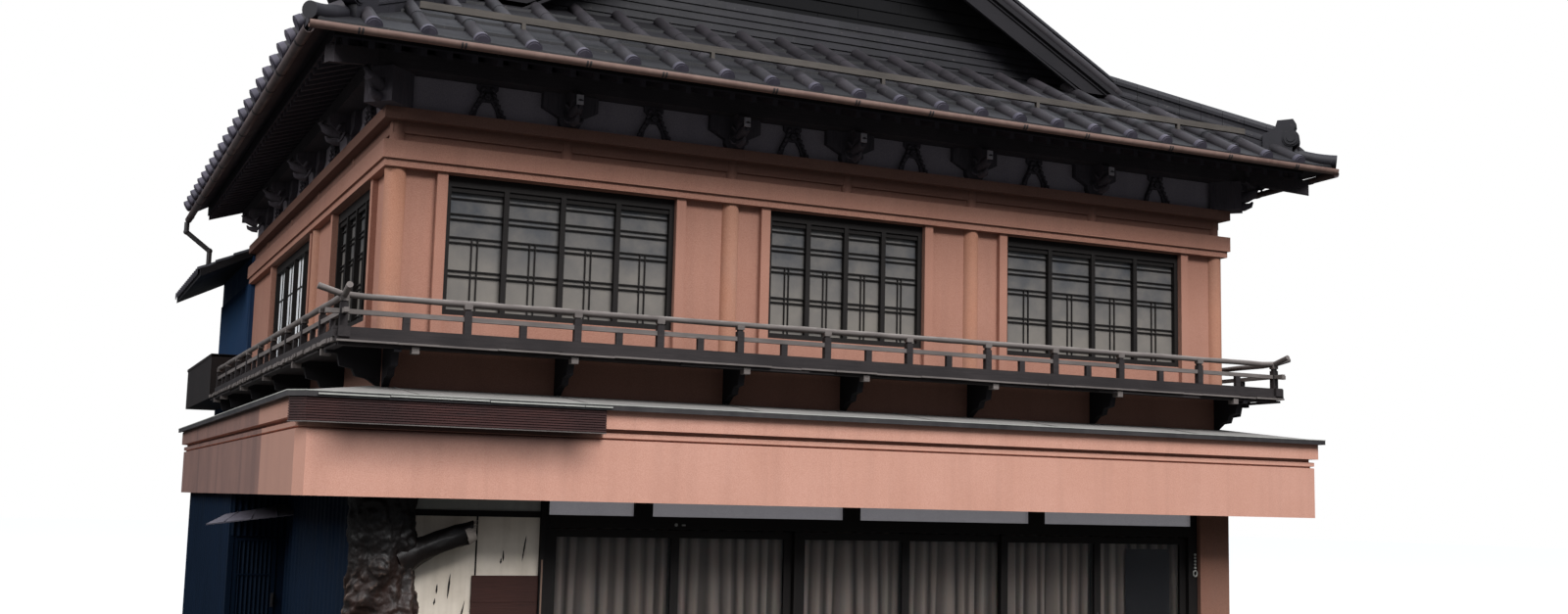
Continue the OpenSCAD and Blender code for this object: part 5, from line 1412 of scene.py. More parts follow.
front_rails, front_plank = Shape(), Shape()
rail_line(front_rails, front_plank, FRONT_RAIL_POSTS, Matrix.Translation((0, -RAIL_OUT, 0)), far_tip=1)
front_piece = front_rails.build("front_rails", grey_rail_x, "weathered_timber")
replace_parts(front_piece, "front_balustrade")
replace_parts(front_plank.build("front_plank", plank_x, "weathered_timber"), "front_balustrade")

side_rails, side_plank = Shape(), Shape()
for side in (-1, 1):
    place = Matrix.Translation((side * (HALF_WIDTH + RAIL_OUT), 0, 0)) @ Matrix.Rotation(math.pi / 2, 4, "Z")
    rail_line(side_rails, side_plank, SIDE_RAIL_POSTS, place, far_tip=0)
side_piece = side_rails.build("side_rails", grey_rail_y, "weathered_timber")
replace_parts(side_piece, "side_balustrades")
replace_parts(side_plank.build("side_planks", plank_y, "weathered_timber"), "side_balustrades")
for piece in (front_piece, side_piece):
    soft_edges(piece, 40)

# %% [markdown]
# Under the plank the edge of the floor shows as thin layers: a fillet, the board ends, and a lower
# batten. Their edges are worn to slightly different lines, so each layer is laid in short uneven pieces.

# %% Layers of the balcony's edge
DECK_OUT = 0.60
SIDE_DECK = (-0.55, 10.12)
layers, teeth = Shape(), Shape()


def uneven_layer(shape, ends, heights, outs, place, lengths):
    """A layer in short pieces whose outer edges and heights vary a little."""
    x, end = ends
    while x < end:
        x_end = min(end, x + random.uniform(*lengths))
        shift = random.uniform(-0.014, 0.012)
        drop = random.uniform(-0.004, 0.003)
        low = (x + 0.001, -outs[1] - shift, heights[0] + drop)
        shape.box(low, (x_end - 0.001, -outs[0], heights[1] + drop), place)
        x = x_end


def front_ends(inset):
    return inset - HALF_WIDTH - DECK_OUT, HALF_WIDTH + DECK_OUT - inset


uneven_layer(layers, front_ends(0.01), (3.780, 3.799), (0.55, 0.600), None, (0.5, 1.3))
uneven_layer(teeth, front_ends(0.01), (3.756, 3.774), (0.50, 0.622), None, (0.25, 0.7))
uneven_layer(layers, front_ends(0.03), (3.722, 3.748), (0.50, 0.585), None, (1.2, 2.6))
for side in (-1, 1):
    ends = (-SIDE_DECK[1], -SIDE_DECK[0]) if side < 0 else SIDE_DECK
    uneven_layer(teeth, ends, (3.760, 3.799), (0.55, 0.625), side_place(side, 0.0), (0.09, 0.14))
    uneven_layer(layers, ends, (3.724, 3.748), (0.50, 0.590), side_place(side, 0.0), (0.9, 1.6))
layers.build("balcony_edge_layers", plank_x, "weathered_timber")
teeth.build("balcony_board_ends", grey_rail_x, "weathered_timber")

# %% [markdown]
# The joists that carry the boards end flush with their edge. Their end grain is pale, so each end is a
# small block of the grey finish over the bracket that carries it.

# %% Joist ends over the brackets
JOIST_HALF, JOIST_FOOT, JOIST_TOP = 0.036, 3.676, 3.742
joists = Shape()
for x in FRONT_SETS + [-5.02, 5.02]:
    joists.box((x - JOIST_HALF, -0.600, JOIST_FOOT), (x + JOIST_HALF, -0.50, JOIST_TOP))
for side in (-1, 1):
    for y in SIDE_SETS + [0.2, 9.6]:
        x0, x1 = sorted((side * (HALF_WIDTH + 0.50), side * (HALF_WIDTH + 0.596)))
        joists.box((x0, y - JOIST_HALF, JOIST_FOOT), (x1, y + JOIST_HALF, JOIST_TOP))
joists.build("joist_ends", grey_rail_x, "weathered_timber")

# %% [markdown]
# ## Canopy
# The photograph shows the canopy's left front corner cut off at a slant, with the dark board wrapped
# round it. So the fascia, the board and the sheet are swept again here along a line with that cut, over
# the plain corner of the CAD model.

# %% Fascia and sheet with the cut corner
FASCIA_OUT, FASCIA_FOOT, FASCIA_TOP = 0.763, 2.31, 3.215
SIDE_EXTRA = 0.16
SHEET_OUT, SHEET_IN = 0.853, -0.115
SHEET_EDGE, SHEET_RISE = 3.26, 0.15
CANOPY_END = 10.13
CORNER_CUT, CUT_GROWTH, LEAST_CUT = 0.09, 0.586, 0.004


def sheet_height(out):
    """Height of the sloping sheet at a distance out."""
    return SHEET_EDGE + SHEET_RISE * (SHEET_OUT - out)


def canopy_line(out):
    """Plan points round the canopy, from the left rear to the right rear, at a distance out."""
    side, front = HALF_WIDTH + out + SIDE_EXTRA, -out
    cut = max(LEAST_CUT, CORNER_CUT + (out - FASCIA_OUT) * CUT_GROWTH)
    left = [(-side, CANOPY_END), (-side, front + cut), (-side + cut, front)]
    return left + [(side, front), (side, CANOPY_END)]


def sweep(shape, profile):
    """Sweeps a profile of (out, height) round the canopy. Each corner is mitred by its own line."""
    lines = [canopy_line(out) for out, height in profile]
    heights = [height for out, height in profile]
    shape.rings([[Vector((*line[k], z)) for line, z in zip(lines, heights)] for k in range(len(lines[0]))])


groove, band_in, band_out = FASCIA_OUT - 0.035, FASCIA_OUT - 0.045, FASCIA_OUT + 0.035
face = [(FASCIA_OUT, FASCIA_FOOT), (FASCIA_OUT, 2.920), (groove, 2.924), (groove, 2.939), (FASCIA_OUT, 2.943)]
face += [(FASCIA_OUT, 2.990), (band_in, 2.994), (band_in, 3.026), (band_out, 3.03), (band_out, FASCIA_TOP)]
face += [(FASCIA_OUT - 0.08, FASCIA_TOP), (FASCIA_OUT - 0.08, FASCIA_FOOT)]
fascia = Shape()
sweep(fascia, face)
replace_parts(fascia.build("canopy_fascia_cut", fascia_plaster, "terracotta_plaster"), "canopy_fascia")

sheet = Shape()
outer_edge = [(SHEET_OUT, 3.222), (SHEET_OUT, SHEET_EDGE)]
sweep(sheet, outer_edge + [(SHEET_IN, sheet_height(SHEET_IN)), (SHEET_IN, 3.225)])
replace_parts(sheet.build("canopy_sheet_cut", canopy_sheet, "grey_sheet"), "canopy_roof")

# %% [markdown]
# The sheets are joined by low folded seams that run down to the edge, never quite straight. A black
# strip covers the edge, and over the dark board a few pale offcuts of metal are tucked under it.

# %% Sheet seams and edge strips
SEAM_WIDE, SEAM_HIGH = 0.012, 0.009
SIDE_SEAMS = (0.4, 2.3, 4.1, 6.0, 7.9, 9.7)
seams = Shape()


def seam(shape, x, place, skew=0.12):
    """One folded seam from the wall down to the edge, a little askew."""
    for shift, high in ((-SEAM_WIDE, 0.002), (0.0, SEAM_HIGH)):
        top = Vector((x + shift, -0.042, sheet_height(0.042)))
        low = Vector((x + shift + skew, -SHEET_OUT, SHEET_EDGE))
        fold = [(0, -0.001), (SEAM_WIDE, -0.001), (SEAM_WIDE, high), (0, high)]
        shape.rings([[point + Vector((a, 0, b)) for a, b in fold] for point in (top, low)], place=place)


x = -5.1
while x < 5.2:
    seam(seams, x, None)
    x += random.uniform(1.5, 2.1)
for side in (-1, 1):
    for y in SIDE_SEAMS:
        seam(seams, y * side, side_place(side, 0.0), skew=0.05)
seams.build("canopy_seams", canopy_sheet, "grey_sheet")

edge_strips = Shape()
outer, inner = SHEET_OUT + 0.006, SHEET_OUT - 0.02
sweep(edge_strips, [(outer, 3.212), (outer, 3.262), (inner, 3.262), (inner, 3.212)])
edge_strips.build("canopy_black_edge", black_metal, "grey_sheet")

OFFCUTS_END = -3.1
strips = Shape()
outer, inner = SHEET_OUT + 0.009, SHEET_OUT - 0.05
sweep(strips, [(outer, 3.263), (outer, 3.272), (inner, 3.276), (inner, 3.263)])
x = 0.25 - HALF_WIDTH - SHEET_OUT - SIDE_EXTRA
while x < OFFCUTS_END:
    x_end = min(x + random.uniform(0.5, 1.1), OFFCUTS_END)
    lift = random.uniform(-0.004, 0.004)
    strips.box((x, -SHEET_OUT - 0.022, 3.234 + lift), (x_end - 0.008, -SHEET_OUT - 0.004, 3.248 + lift))
    x = x_end
strips.build("canopy_pale_strips", pale_metal, "grey_sheet")

# %% [markdown]
# The dark board round the canopy's left end is reeded: many shallow grooves run along it, and its lower
# edge carries a bead. Each reed is swept round the corner like the board, so that the lines meet there.

# %% The dark board and its reeds
BOARD_OUT = FASCIA_OUT + 0.068
BOARD_END = -3.158
REEDS, REED_STEP, REED_HIGH = 9, 0.0242, 0.015


def board_sweep(shape, low, high, inner, outer):
    """A strip of the board, from the cut corner's left edge to the board's right end."""
    rings = []
    for k in (1, 2, 3):
        ring = []
        for out, z in ((inner, low), (outer, low), (outer, high), (inner, high)):
            x, y = canopy_line(out)[k]
            ring.append(Vector((BOARD_END if k == 3 else x, y, z)))
        rings.append(ring)
    shape.rings(rings)


board = Shape()
board_sweep(board, 2.985, 3.214, FASCIA_OUT + 0.034, BOARD_OUT)
for k in range(REEDS):
    z = 2.994 + REED_STEP * k
    board_sweep(board, z, z + REED_HIGH, BOARD_OUT - 0.002, BOARD_OUT + 0.010)
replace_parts(board.build("reeded_dark_board", red_board, "weathered_timber"), "dark_corner_board")
bead = Shape()
board_sweep(bead, 2.978, 2.987, FASCIA_OUT + 0.036, BOARD_OUT + 0.013)
bead.build("dark_board_bead", grey_rail_x, "weathered_timber")

# %% [markdown]
# ## Plaster wall beside the shop
# Above the cream plaster run a dark beam and a grey strip. A batten covers the joint between two boards
# of the plaster's ground, a brown board hangs low on its right, and a dark post ends it at the shop.
# Each is a box that stands a little proud of the wall, which gives it an edge that takes the light.

# %% Beam, batten, panel and post
WALL_PLANE = -0.08
WALL_LEFT, POST_LEFT, POST_RIGHT = -4.85, -3.565, -3.522
FLOOR_TOP, STRIP_FOOT, STRIP_TOP, WALL_TOP = 0.12, 2.20, 2.50, 2.60
PANEL_LEFT, PANEL_TOP, BOARD_HIGH = -4.243, 1.560, 0.26


def wall_piece(shape, left, right, low, high, proud):
    """A flat piece on the wall that stands proud of it."""
    shape.box((left, WALL_PLANE - proud, low), (right, WALL_PLANE + 0.001, high))


wall_trim = Shape()
wall_piece(wall_trim, WALL_LEFT, -3.525, 2.14, STRIP_FOOT, 0.025)
wall_piece(wall_trim, WALL_LEFT, -3.525, STRIP_TOP, WALL_TOP, 0.012)
wall_piece(wall_trim, -4.216, -4.200, 1.562, 2.14, 0.006)
wall_piece(wall_trim, POST_LEFT, POST_RIGHT, FLOOR_TOP, WALL_TOP, 0.055)
wall_trim.build("plaster_wall_trim", joinery, "dark_frame")

worn_edge = timber("worn_edge", rgb(104, 84, 72), rgb(136, 112, 98), rgb(150, 130, 116), UPRIGHT)
post_edge = Shape()
post_edge.box((-3.553, WALL_PLANE - 0.060, FLOOR_TOP), (-3.536, WALL_PLANE - 0.054, 1.72))
post_edge.build("worn_post_edge", worn_edge, "weathered_timber")

red_brown = timber(
    "red_brown_board", rgb(46, 27, 23), rgb(72, 41, 34), rgb(84, 62, 54), ALONG_X, bleach=0.1, roughness=0.6
)
panel = Shape()
wall_piece(panel, PANEL_LEFT, POST_LEFT - 0.001, FLOOR_TOP, PANEL_TOP, 0.022)
for k in range(5):
    z = BOARD_HIGH + BOARD_HIGH * k
    low = (PANEL_LEFT, WALL_PLANE - 0.025, z)
    panel.box(low, (POST_LEFT - 0.001, WALL_PLANE - 0.02, z + BOARD_HIGH - 0.008))
panel.build("brown_wall_board", red_brown, "weathered_timber")

strip_board = Shape()
wall_piece(strip_board, WALL_LEFT, POST_LEFT - 0.001, STRIP_FOOT, STRIP_TOP, 0.010)
strip_board.build("grey_wall_strip", pale_metal, "grey_sheet")

# %% [markdown]
# The old plaster has split in long dark gashes. Each is a thin pointed leaf of dark faces that lies just
# in front of the wall, with an uneven width, since a cut into the wall would look no different.

# %% Gashes in the plaster
GASHES = [
    # left, foot, height and lean of each gash
    (-4.475, 1.33, 0.25, 0.02), (-4.585, 1.38, 0.1, 0.005), (-4.605, 1.27, 0.07, 0.01),
    (-3.735, 1.70, 0.26, 0.035), (-3.955, 1.675, 0.06, 0.005), (-3.93, 1.70, 0.11, 0.0),
    (-4.36, 1.02, 0.30, 0.06), (-4.40, 0.98, 0.20, 0.03), (-4.47, 0.62, 0.27, -0.02),
    (-4.56, 0.84, 0.17, 0.02), (-4.32, 0.50, 0.21, 0.02), (-4.62, 0.42, 0.16, 0.01),
]
GASH_HALF = 0.009
gashes = Shape()


def gash(shape, x, z, long, lean):
    """A long dark split, pointed at both ends, lying on the wall's face."""
    front = WALL_PLANE - 0.0012
    rows = []
    for k in range(9):
        share = k / 8
        half = GASH_HALF * math.sin(math.pi * share) ** 0.8 * random.uniform(0.7, 1.2) + 0.0005
        rows.append((x + lean * share, z + long * share, half))
    points = [(a + s * half, front, b) for a, b, half in rows for s in (-1, 1)]
    faces = [(2 * k, 2 * k + 1, 2 * k + 3, 2 * k + 2) for k in range(8)]
    shape.add(points, faces)


for x, z, long, lean in GASHES:
    gash(gashes, x, z, long, lean)
split_dark = new_finish("plaster_split", rgb(30, 24, 22), 0.95)[0]
gashes.build("plaster_gashes", split_dark, "cream_plaster")

# %% [markdown]
# ## Blue sheets
# Ribbed sheets clad the ground floor's sides and the annex, and narrow corrugated ones its door and the
# rear wing. Both are one wave pushed upright along the wall: a high power of the wave leaves flat sheet
# between narrow ribs, and a low one leaves round corrugations.

# %% Corrugated cladding
def corrugated(shape, start, end, z0, z1, out, deep=0.019, pitch=0.076, narrow=1.5):
    """Cladding from start to end (x, y) between two heights; out is the wall's outward direction."""
    start, end, out = Vector((*start, 0)), Vector((*end, 0)), Vector((*out, 0))
    length = (end - start).length
    count = max(2, round(length / pitch))
    steps = count * (8 if narrow < 4 else 16)
    row = []
    for i in range(steps + 1):
        share = i / steps
        wave = 0.5 - 0.5 * math.cos(2 * math.pi * count * share)
        row.append(start.lerp(end, share) + out * (0.003 + deep * wave**narrow))
    points = [p + upward(z) for z in (z0, z1) for p in row]
    n = steps + 1
    faces = [(i, i + 1, n + i + 1, n + i) for i in range(steps)]
    back = [p + upward(z) for z in (z0, z1) for p in (start, end)]
    m = len(points)
    points += back
    faces += [(0, m, m + 2, n), (steps, n + steps, m + 3, m + 1)]
    faces.append(tuple([m] + list(range(0, n)) + [m + 1]))
    faces.append(tuple([m + 3] + list(range(2 * n - 1, n - 1, -1)) + [m + 2]))
    shape.add(points, faces)


SHEET_TOP = 2.598
RIB_SPACING, RIB_NARROW, RIB_DEEP = 0.24, 9, 0.02
low_sheets = Shape()
for start, end, out in (
    ((-5.28, 0.09), (-5.28, 4.99), (-1, 0)),
    ((5.28, 0.09), (5.28, 10.13), (1, 0)),
    ((-5.27, 10.14), (5.27, 10.14), (0, 1)),
    ((-5.96, 5.01), (-5.96, 10.09), (-1, 0)),
):
    corrugated(low_sheets, start, end, 0.0, SHEET_TOP, out, RIB_DEEP, RIB_SPACING, RIB_NARROW)
corrugated(low_sheets, (-5.95, 5.0), (-5.29, 5.0), 1.80, SHEET_TOP, (0, -1), deep=0.012)
corrugated(low_sheets, (-5.95, 10.1), (-5.29, 10.1), 0.0, SHEET_TOP, (0, 1), deep=0.012)
low_sheets.build("ground_floor_sheets", blue_paint, "blue_sheet")

# %% [markdown]
# The side door is a leaf of the same sheet in a flat frame, with one thin rail and a small handle. All
# of it rides on the door's body, so it turns with the hinge. The frame's strip on the hinge side starts
# a little way in, which leaves room for the leaf to turn past the wall.

# %% Side door: sheet, frame, rail and handle, all riding on the door
DOOR_FACE = 5.005
DOOR_FOOT, DOOR_TOP = 0.008, 1.772
LEAF_X = (-5.892, -5.388)
HINGE_ROOM, FRAME_WIDE = 0.024, 0.045
inner_left, inner_right = LEAF_X[0] + FRAME_WIDE, LEAF_X[1] - FRAME_WIDE
door_sheet = Shape()
corrugated(
    door_sheet, (inner_left, 5.004), (inner_right, 5.004), 0.03, 1.735, (0, -1), deep=0.012, pitch=0.05
)
door_sheet.box((LEAF_X[0] + HINGE_ROOM, 4.988, DOOR_FOOT), (inner_left, DOOR_FACE, DOOR_TOP))
door_sheet.box((inner_right, 4.988, DOOR_FOOT), (LEAF_X[1], DOOR_FACE, DOOR_TOP))
door_sheet.box((inner_left, 4.990, 1.735), (inner_right, DOOR_FACE, DOOR_TOP))
door_sheet.box((inner_left, 4.990, DOOR_FOOT), (inner_right, DOOR_FACE, 0.032))
door_sheet.box((inner_left + 0.001, 4.985, 1.315), (inner_right - 0.001, 4.994, 1.335))
door_sheet.build("side_door_sheet", blue_paint, "blue_sheet", "side_door")
handle = Shape()
handle.box((LEAF_X[1] - 0.042, 4.972, 0.93), (LEAF_X[1] - 0.008, 4.989, 1.10))
handle.box((LEAF_X[1] - 0.034, 4.955, 0.97), (LEAF_X[1] - 0.016, 4.973, 1.06))
handle.build("side_door_handle", black_metal, "dark_frame", "side_door")

# %% [markdown]
# ## Rear wing and cabinet
# The wing's walls are a brighter blue sheet. Its roof has rolled tiles, smaller than the main roof's
# pans: each has a roll along its rear edge and a shallow trough beside it.

# %% Cladding and tiles of the wing
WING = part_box("wing_walls")
WING_SHEET_TOP = 5.6
wing_sheets = Shape()
left_rear, right_rear = (WING[0].x, WING[1].y), (WING[1].x, WING[1].y)
corrugated(wing_sheets, (WING[0].x, 10.3), left_rear, 0.0, WING_SHEET_TOP, (-1, 0))
corrugated(wing_sheets, left_rear, right_rear, 0.0, WING_SHEET_TOP, (0, 1))
corrugated(wing_sheets, (WING[1].x, 10.16), right_rear, 0.0, WING_SHEET_TOP, (1, 0))
wing_sheets.build("wing_sheets", wing_blue, "blue_sheet")

ROLL_PITCH, ROLL_COURSE = 0.267, 0.262
WING_EAVE, WING_SLOPE, WING_EAVE_Z = 0.76, 0.5, 5.75
WING_MIDDLE, WING_HALF = -3.28, 2.0
WING_FRONT, WING_BACK = 10.27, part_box("wing_roof")[1].y
WING_LOW = WING_EAVE + 0.03


def rolled_tile(inside):
    """A rolled tile, from its rear edge forwards: a roll along that edge, then a shallow trough."""
    roll = 0.049 * math.sin(math.pi * min(max((inside - 0.01) / 0.38, 0.0), 1.0)) ** 1.2
    trough = -0.004 * math.sin(math.pi * max(0.0, (inside - 0.42) / 0.58))
    return trough + roll


def wing_tiles(shape, side):
    def place(across, up, lift):
        out = WING_LOW - up
        height = WING_EAVE_Z + WING_SLOPE * (WING_EAVE - out)
        return Vector((WING_MIDDLE + side * (WING_HALF + out), WING_BACK - across, height + lift))

    courses = math.ceil((WING_HALF + WING_LOW) / ROLL_COURSE)
    columns = math.ceil((WING_BACK - WING_FRONT) / ROLL_PITCH)
    cuts = [plane((WING_MIDDLE + side * 0.02, 0, 0), (-side, 0, 0)), plane((0, WING_FRONT, 0), (0, -1, 0))]
    tiled_slope(shape, place, columns, 10, ROLL_PITCH, courses, ROLL_COURSE, rolled_tile, 0.03, cuts)


wing_slopes = Shape()
for side in (-1, 1):
    wing_tiles(wing_slopes, side)
wing_slopes.build("wing_tiles", side_tiles, "roof_tiles")

# %% [markdown]
# The cabinet at the balcony's rear end is closed by upright boards with a thin board along its top.
# The boards are separate boxes, so their gaps are real and stay sharp in any light.

# %% Boards of the cabinet on the balcony's rear end
near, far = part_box("balcony_cabinet")
BOARD_STEP, BOARD_WIDE = 0.2, 0.19
cabinet = Shape()
y = near.y
while y < far.y - 0.1:
    cabinet.box((near.x - 0.012, y, near.z), (near.x + 0.001, y + BOARD_WIDE, far.z))
    y += BOARD_STEP
cabinet.box((near.x - 0.02, near.y, far.z - 0.03), (far.x, far.y, far.z + 0.012))
cabinet.build("cabinet_boards", brown_board, "weathered_timber")

# %% [markdown]
# The hood over the side door is one thin tilted sheet with three folded seams. It leans two ways, so its
# four corners are given and its underside is the same shape a little lower.

# %% Hood over the side door
HOOD = [(-5.285, 4.96, 2.20), (-6.02, 4.97, 2.06), (-6.30, 4.42, 1.945), (-5.285, 4.38, 2.08)]
HOOD_THICK = 0.014
hood = Shape()
upper = [Vector(p) for p in HOOD]
hood.rings([[p - upward(HOOD_THICK) for p in upper], upper])
for share in (0.2, 0.5, 0.8):
    low_end, high_end = upper[3].lerp(upper[2], share), upper[0].lerp(upper[1], share)
    hood.tube([low_end + upward(0.003), high_end + upward(0.003)], [0.008, 0.008], 6)
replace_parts(hood.build("side_door_hood", hood_sheet, "grey_sheet"), "door_hood")

# %% [markdown]
# ## Shop front
# Pale curtains hang gathered behind each glazed leaf. Each is one cloth: its folds are a wave that
# deepens towards the hem and wanders a little, and its flat width is the wave's true length. A cloth
# simulation could hang it too, but would not give the same folds in each run.

# %% Curtains
CURTAIN_Y = 0.0703
CURTAIN_TOP, CURTAIN_HEM = 2.07, 0.19
FOLD_WIDE, FOLD_DEPTH = 0.165, 0.029
CURTAIN_SPANS = [(-3.42, -2.10), (-2.06, -0.76), (-0.60, 0.70), (0.75, 2.03), (2.07, 3.33), (3.37, 4.64)]


def curtain(name, left, right, seed):
    """One gathered curtain, hung from left to right."""
    chance = random.Random(seed)
    folds = round((right - left) / FOLD_WIDE)
    phases = [chance.uniform(-0.6, 0.6) for _ in range(folds + 2)]
    across, down = folds * 16, 26
    points, widths = [], []
    for j in range(down + 1):
        share = j / down
        row = []
        for i in range(across + 1):
            t = i / across
            place = t * folds
            k = int(place)
            shift = phases[k] + (phases[k + 1] - phases[k]) * (place - k)
            turn = 2 * math.pi * (place + shift * (0.4 + 0.6 * share))
            deep = FOLD_DEPTH * (0.55 + 0.45 * share) * (0.8 + 0.2 * math.sin(3.1 * place + seed))
            wave = 0.82 * math.sin(turn) + 0.18 * math.sin(2.6 * turn + seed)
            x = left + (right - left) * t + 0.012 * math.sin(turn * 0.5 + seed) * share
            z = CURTAIN_TOP + (CURTAIN_HEM - CURTAIN_TOP) * share
            row.append(Vector((x, CURTAIN_Y + deep * wave, z)))
        widths.append(sum((b - a).length for a, b in zip(row, row[1:])))
        points += row
    n = across + 1
    corners = [(j * n + i, (j + 1) * n + i) for j in range(down) for i in range(across)]
    faces = [(a, a + 1, b + 1, b) for a, b in corners]
    cloth = Shape()
    cloth.add(points, faces)
    piece = cloth.build(name, pale_curtain, "curtain_cloth", smooth=True)
    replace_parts(piece, "shop_curtains")


for k, (left, right) in enumerate(CURTAIN_SPANS):
    curtain(f"curtain_{k + 1}", left, right, 11 + k)

# %% [markdown]
# The frame's face carries a small round lock and a catch near the head, and a short chain with a ring
# hangs on its right post. Each sliding leaf has a pull, which rides on that leaf. One sheet of dark card
# stands inside the last pane, bare on both sides.

# %% Lock, catch, chain, door pulls and card
fittings = Shape()
FRAME_FACE = -0.08
fittings.push(round_outline(-2.085, 2.088, 0.017, 20), FRAME_FACE - 0.008, FRAME_FACE + 0.001)
fittings.box((-2.02, FRAME_FACE - 0.006, 2.078), (-1.98, FRAME_FACE + 0.001, 2.094))
fittings.build("frame_lock", pale_metal, "dark_frame")

CHAIN_X = 4.79
beads = Shape()
for z, radius in ((1.83, 0.014), (1.79, 0.012), (1.75, 0.014), (1.71, 0.012), (1.67, 0.015)):
    beads.push(round_outline(CHAIN_X, z, radius, 12), FRAME_FACE - 0.016, FRAME_FACE + 0.001)
turns = [2 * math.pi * i / 16 for i in range(17)]
ring = [(CHAIN_X + 0.03 * math.cos(t), FRAME_FACE - 0.010, 1.60 + 0.035 * math.sin(t)) for t in turns]
beads.tube(ring, [0.009] * 17, 8)
beads.build("frame_chain", pale_metal, "dark_frame")

for letter in "abc":
    low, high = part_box(f"door_leaf_{letter}")
    pull = Shape()
    x = low.x + 0.045 if letter != "c" else high.x - 0.045
    pull.box((x - 0.012, low.y - 0.0025, 0.98), (x + 0.012, low.y + 0.001, 1.14))
    pull.build(f"door_pull_{letter}", black_metal, "dark_frame", f"shop_door_{letter}")

card = Shape()
PANE_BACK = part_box("shop_glass")[1].y
card.box((3.80, PANE_BACK + 0.0012, 0.95), (4.46, PANE_BACK + 0.0024, 1.89))
card_finish = new_finish("bare_dark_card", rgb(30, 30, 36), 0.6)[0]
card.build("bare_card", card_finish, "curtain_cloth")

# %% [markdown]
# The four lights over the doors look pale. A thin pale screen with a weak glow of its own stands in for
# their brightness: painted light, since no lamp stands behind them.

# %% Pale screens behind the lights over the doors
LIGHTS = [(-3.47, -2.538), (-2.348, -0.078), (0.112, 2.382), (2.572, 4.78)]
LIGHTS_FOOT, LIGHTS_TOP = 2.171, 2.519
light_screens = Shape()
for left, right in LIGHTS:
    light_screens.box((left + 0.001, -0.0128, LIGHTS_FOOT), (right - 0.001, -0.0116, LIGHTS_TOP))
glowing_film = roughcast("glowing_film", rgb(196, 196, 202), rgb(210, 209, 214), rgb(160, 158, 162))
film_shader = reopened(glowing_film)[1]
# Painted light: a weak glow, though no lamp stands behind the screens.
film_shader.inputs["Emission Color"].default_value = rgb(216, 209, 213)
film_shader.inputs["Emission Strength"].default_value = 0.24
light_screens.build("light_screens", glowing_film, "obscured_glass")

# %% [markdown]
# ## The tree-trunk post
# The corner post is a whole trunk with its burls. Sculpting it by hand would give a mesh that no other
# script could repeat, so its surface is worked out point by point: a flared cylinder, long folds that
# wind round it, burls and ringed knots that rise from it, and fine wear on top. The folds grow calmer
# above the height of a person's shoulder.

# %% Trunk surface
TRUNK_AXIS = (-5.15, -0.15)
TRUNK_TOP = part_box("corner_trunk_post")[1].z
TRUNK_RADIUS = 0.315
KNOTS = [
    # place on the trunk (x, y, z), size, height
    ((-5.22, -0.46, 1.66), 0.085, 0.052),
    ((-4.80, -0.38, 1.57), 0.055, 0.120),
    ((-4.86, -0.36, 1.26), 0.150, 0.075),
    ((-5.05, -0.48, 1.16), 0.130, 0.060),
    ((-5.32, -0.44, 0.95), 0.120, 0.055),
    ((-4.90, -0.38, 0.62), 0.170, 0.080),
    ((-5.18, -0.48, 0.38), 0.150, 0.060),
    ((-5.45, -0.30, 1.35), 0.140, 0.055),
    ((-5.46, -0.20, 0.55), 0.160, 0.070),
    ((-4.88, -0.33, 1.88), 0.120, 0.050),
    ((-5.30, -0.46, 2.15), 0.130, 0.045),
]


def trunk_point(turn, z):
    """The trunk's surface at an angle and a height."""
    out = Vector((math.cos(turn), math.sin(turn), 0))
    flare = 0.10 * max(0.0, 1 - z / 0.5) ** 2 + 0.03 * max(0.0, (z - 2.2) / 0.4)
    spot = Vector((TRUNK_AXIS[0] + out.x * TRUNK_RADIUS, TRUNK_AXIS[1] + out.y * TRUNK_RADIUS, z))
    soft = mesh_noise.noise(spot * 1.7 + Vector((3, 1, 7)))
    wound = turn * 5 + 2.3 * math.sin(z * 2.1) + 2.5 * soft
    calm = 1.0 - 0.6 * min(max((z - 1.5) / 0.4, 0.0), 1.0)
    folds = calm * (0.020 * math.sin(wound) + 0.012 * math.sin(2.7 * wound + 4 * z))
    worn = 0.020 * mesh_noise.fractal(spot * 8.0, 0.75, 2.1, 6)
    rise = 0.0
    for place, size, height in KNOTS:
        away = (spot - Vector(place)).length / size
        if away < 3.2:
            rise += height * math.exp(-away * away)
            rise += 0.10 * size * math.cos(min(away * 6.2, 12.5)) * math.exp(-((away - 0.9) ** 2) * 3)
    reach = TRUNK_RADIUS + flare + folds + worn + rise + 0.03 * soft
    lean = 0.03 * math.sin(z * 1.9)
    return Vector((TRUNK_AXIS[0] + lean + out.x * reach, TRUNK_AXIS[1] + out.y * reach, z))


trunk = Shape()
AROUND, TALL = 190, 200
rings = []
for j in range(TALL + 1):
    z = TRUNK_TOP * j / TALL
    rings.append([trunk_point(2 * math.pi * i / AROUND, z) for i in range(AROUND)])
trunk.rings(rings)
trunk_piece = trunk.build("burled_trunk", trunk_wood, "trunk_wood", smooth=True)
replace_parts(trunk_piece, "corner_trunk_post")

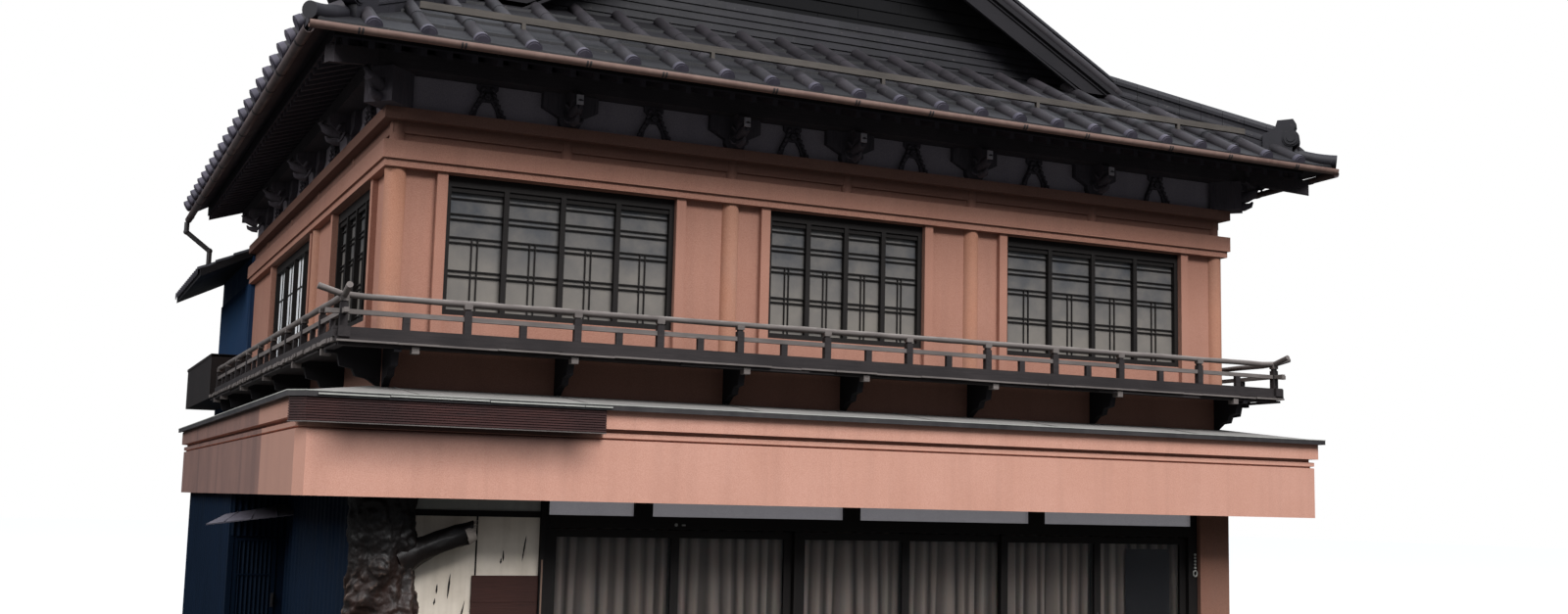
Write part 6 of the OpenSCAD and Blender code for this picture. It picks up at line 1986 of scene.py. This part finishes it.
# %% [markdown]
# One branch was left on as a stub. It swells where it leaves the trunk and ends in a torn rim of pale
# splinters, which are short tapering tubes set round the end at random from a fixed seed.

# %% Branch stub with its torn end
stub = Shape()
STUB_START, STUB_END = Vector((-5.02, -0.24, 1.70)), Vector((-4.32, -0.28, 1.985))
along = (STUB_END - STUB_START).normalized()
side, up = side_and_up(along)
rings = []
for k in range(31):
    share = k / 30
    middle = STUB_START.lerp(STUB_END, share) + up * 0.02 * math.sin(3 * share)
    ring = []
    for i in range(40):
        t = 2 * math.pi * i / 40
        radius = 0.104 + 0.075 * (1 - share) ** 3 + 0.006 * math.sin(3 * t + 5 * share)
        radius += 0.012 * mesh_noise.noise(Vector((2 * math.cos(t), 2 * math.sin(t), 6 * share)))
        if share > 0.9:
            radius -= 0.02 * (share - 0.9) / 0.1 * (0.5 + 0.5 * math.sin(7 * t))
        slant = 0.06 * math.sin(t) * share
        ring.append(middle + along * slant + (side * math.cos(t) + up * math.sin(t)) * radius)
    rings.append(ring)
stub.rings(rings)
stub_piece = stub.build("branch_stub", trunk_wood, "trunk_wood", smooth=True)
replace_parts(soft_edges(stub_piece, 55), "corner_trunk_post")

splinters = Shape()
chance = random.Random(5)
SPLINTERS = 26
for i in range(SPLINTERS):
    t = 2 * math.pi * i / SPLINTERS
    rim = 0.082 + chance.uniform(-0.012, 0.012)
    foot = STUB_END + along * (0.05 * math.sin(t) - 0.03) + (side * math.cos(t) + up * math.sin(t)) * rim
    foot += up * 0.02 * math.sin(3)
    tip = foot + along * chance.uniform(0.03, 0.085) + upward(chance.uniform(-0.012, 0.016))
    splinters.tube([foot, foot.lerp(tip, 0.6), tip], [0.014, 0.009, 0.002], 6)
splinters.tube([STUB_END + along * a for a in (-0.06, -0.02, 0.03)], [0.108, 0.104, 0.088], 24)
pale_wood = timber(
    "torn_wood", rgb(126, 116, 108), rgb(184, 174, 164), rgb(184, 176, 168), ALONG_X, bleach=0.3
)
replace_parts(splinters.build("torn_splinters", pale_wood, "trunk_wood"), "corner_trunk_post")
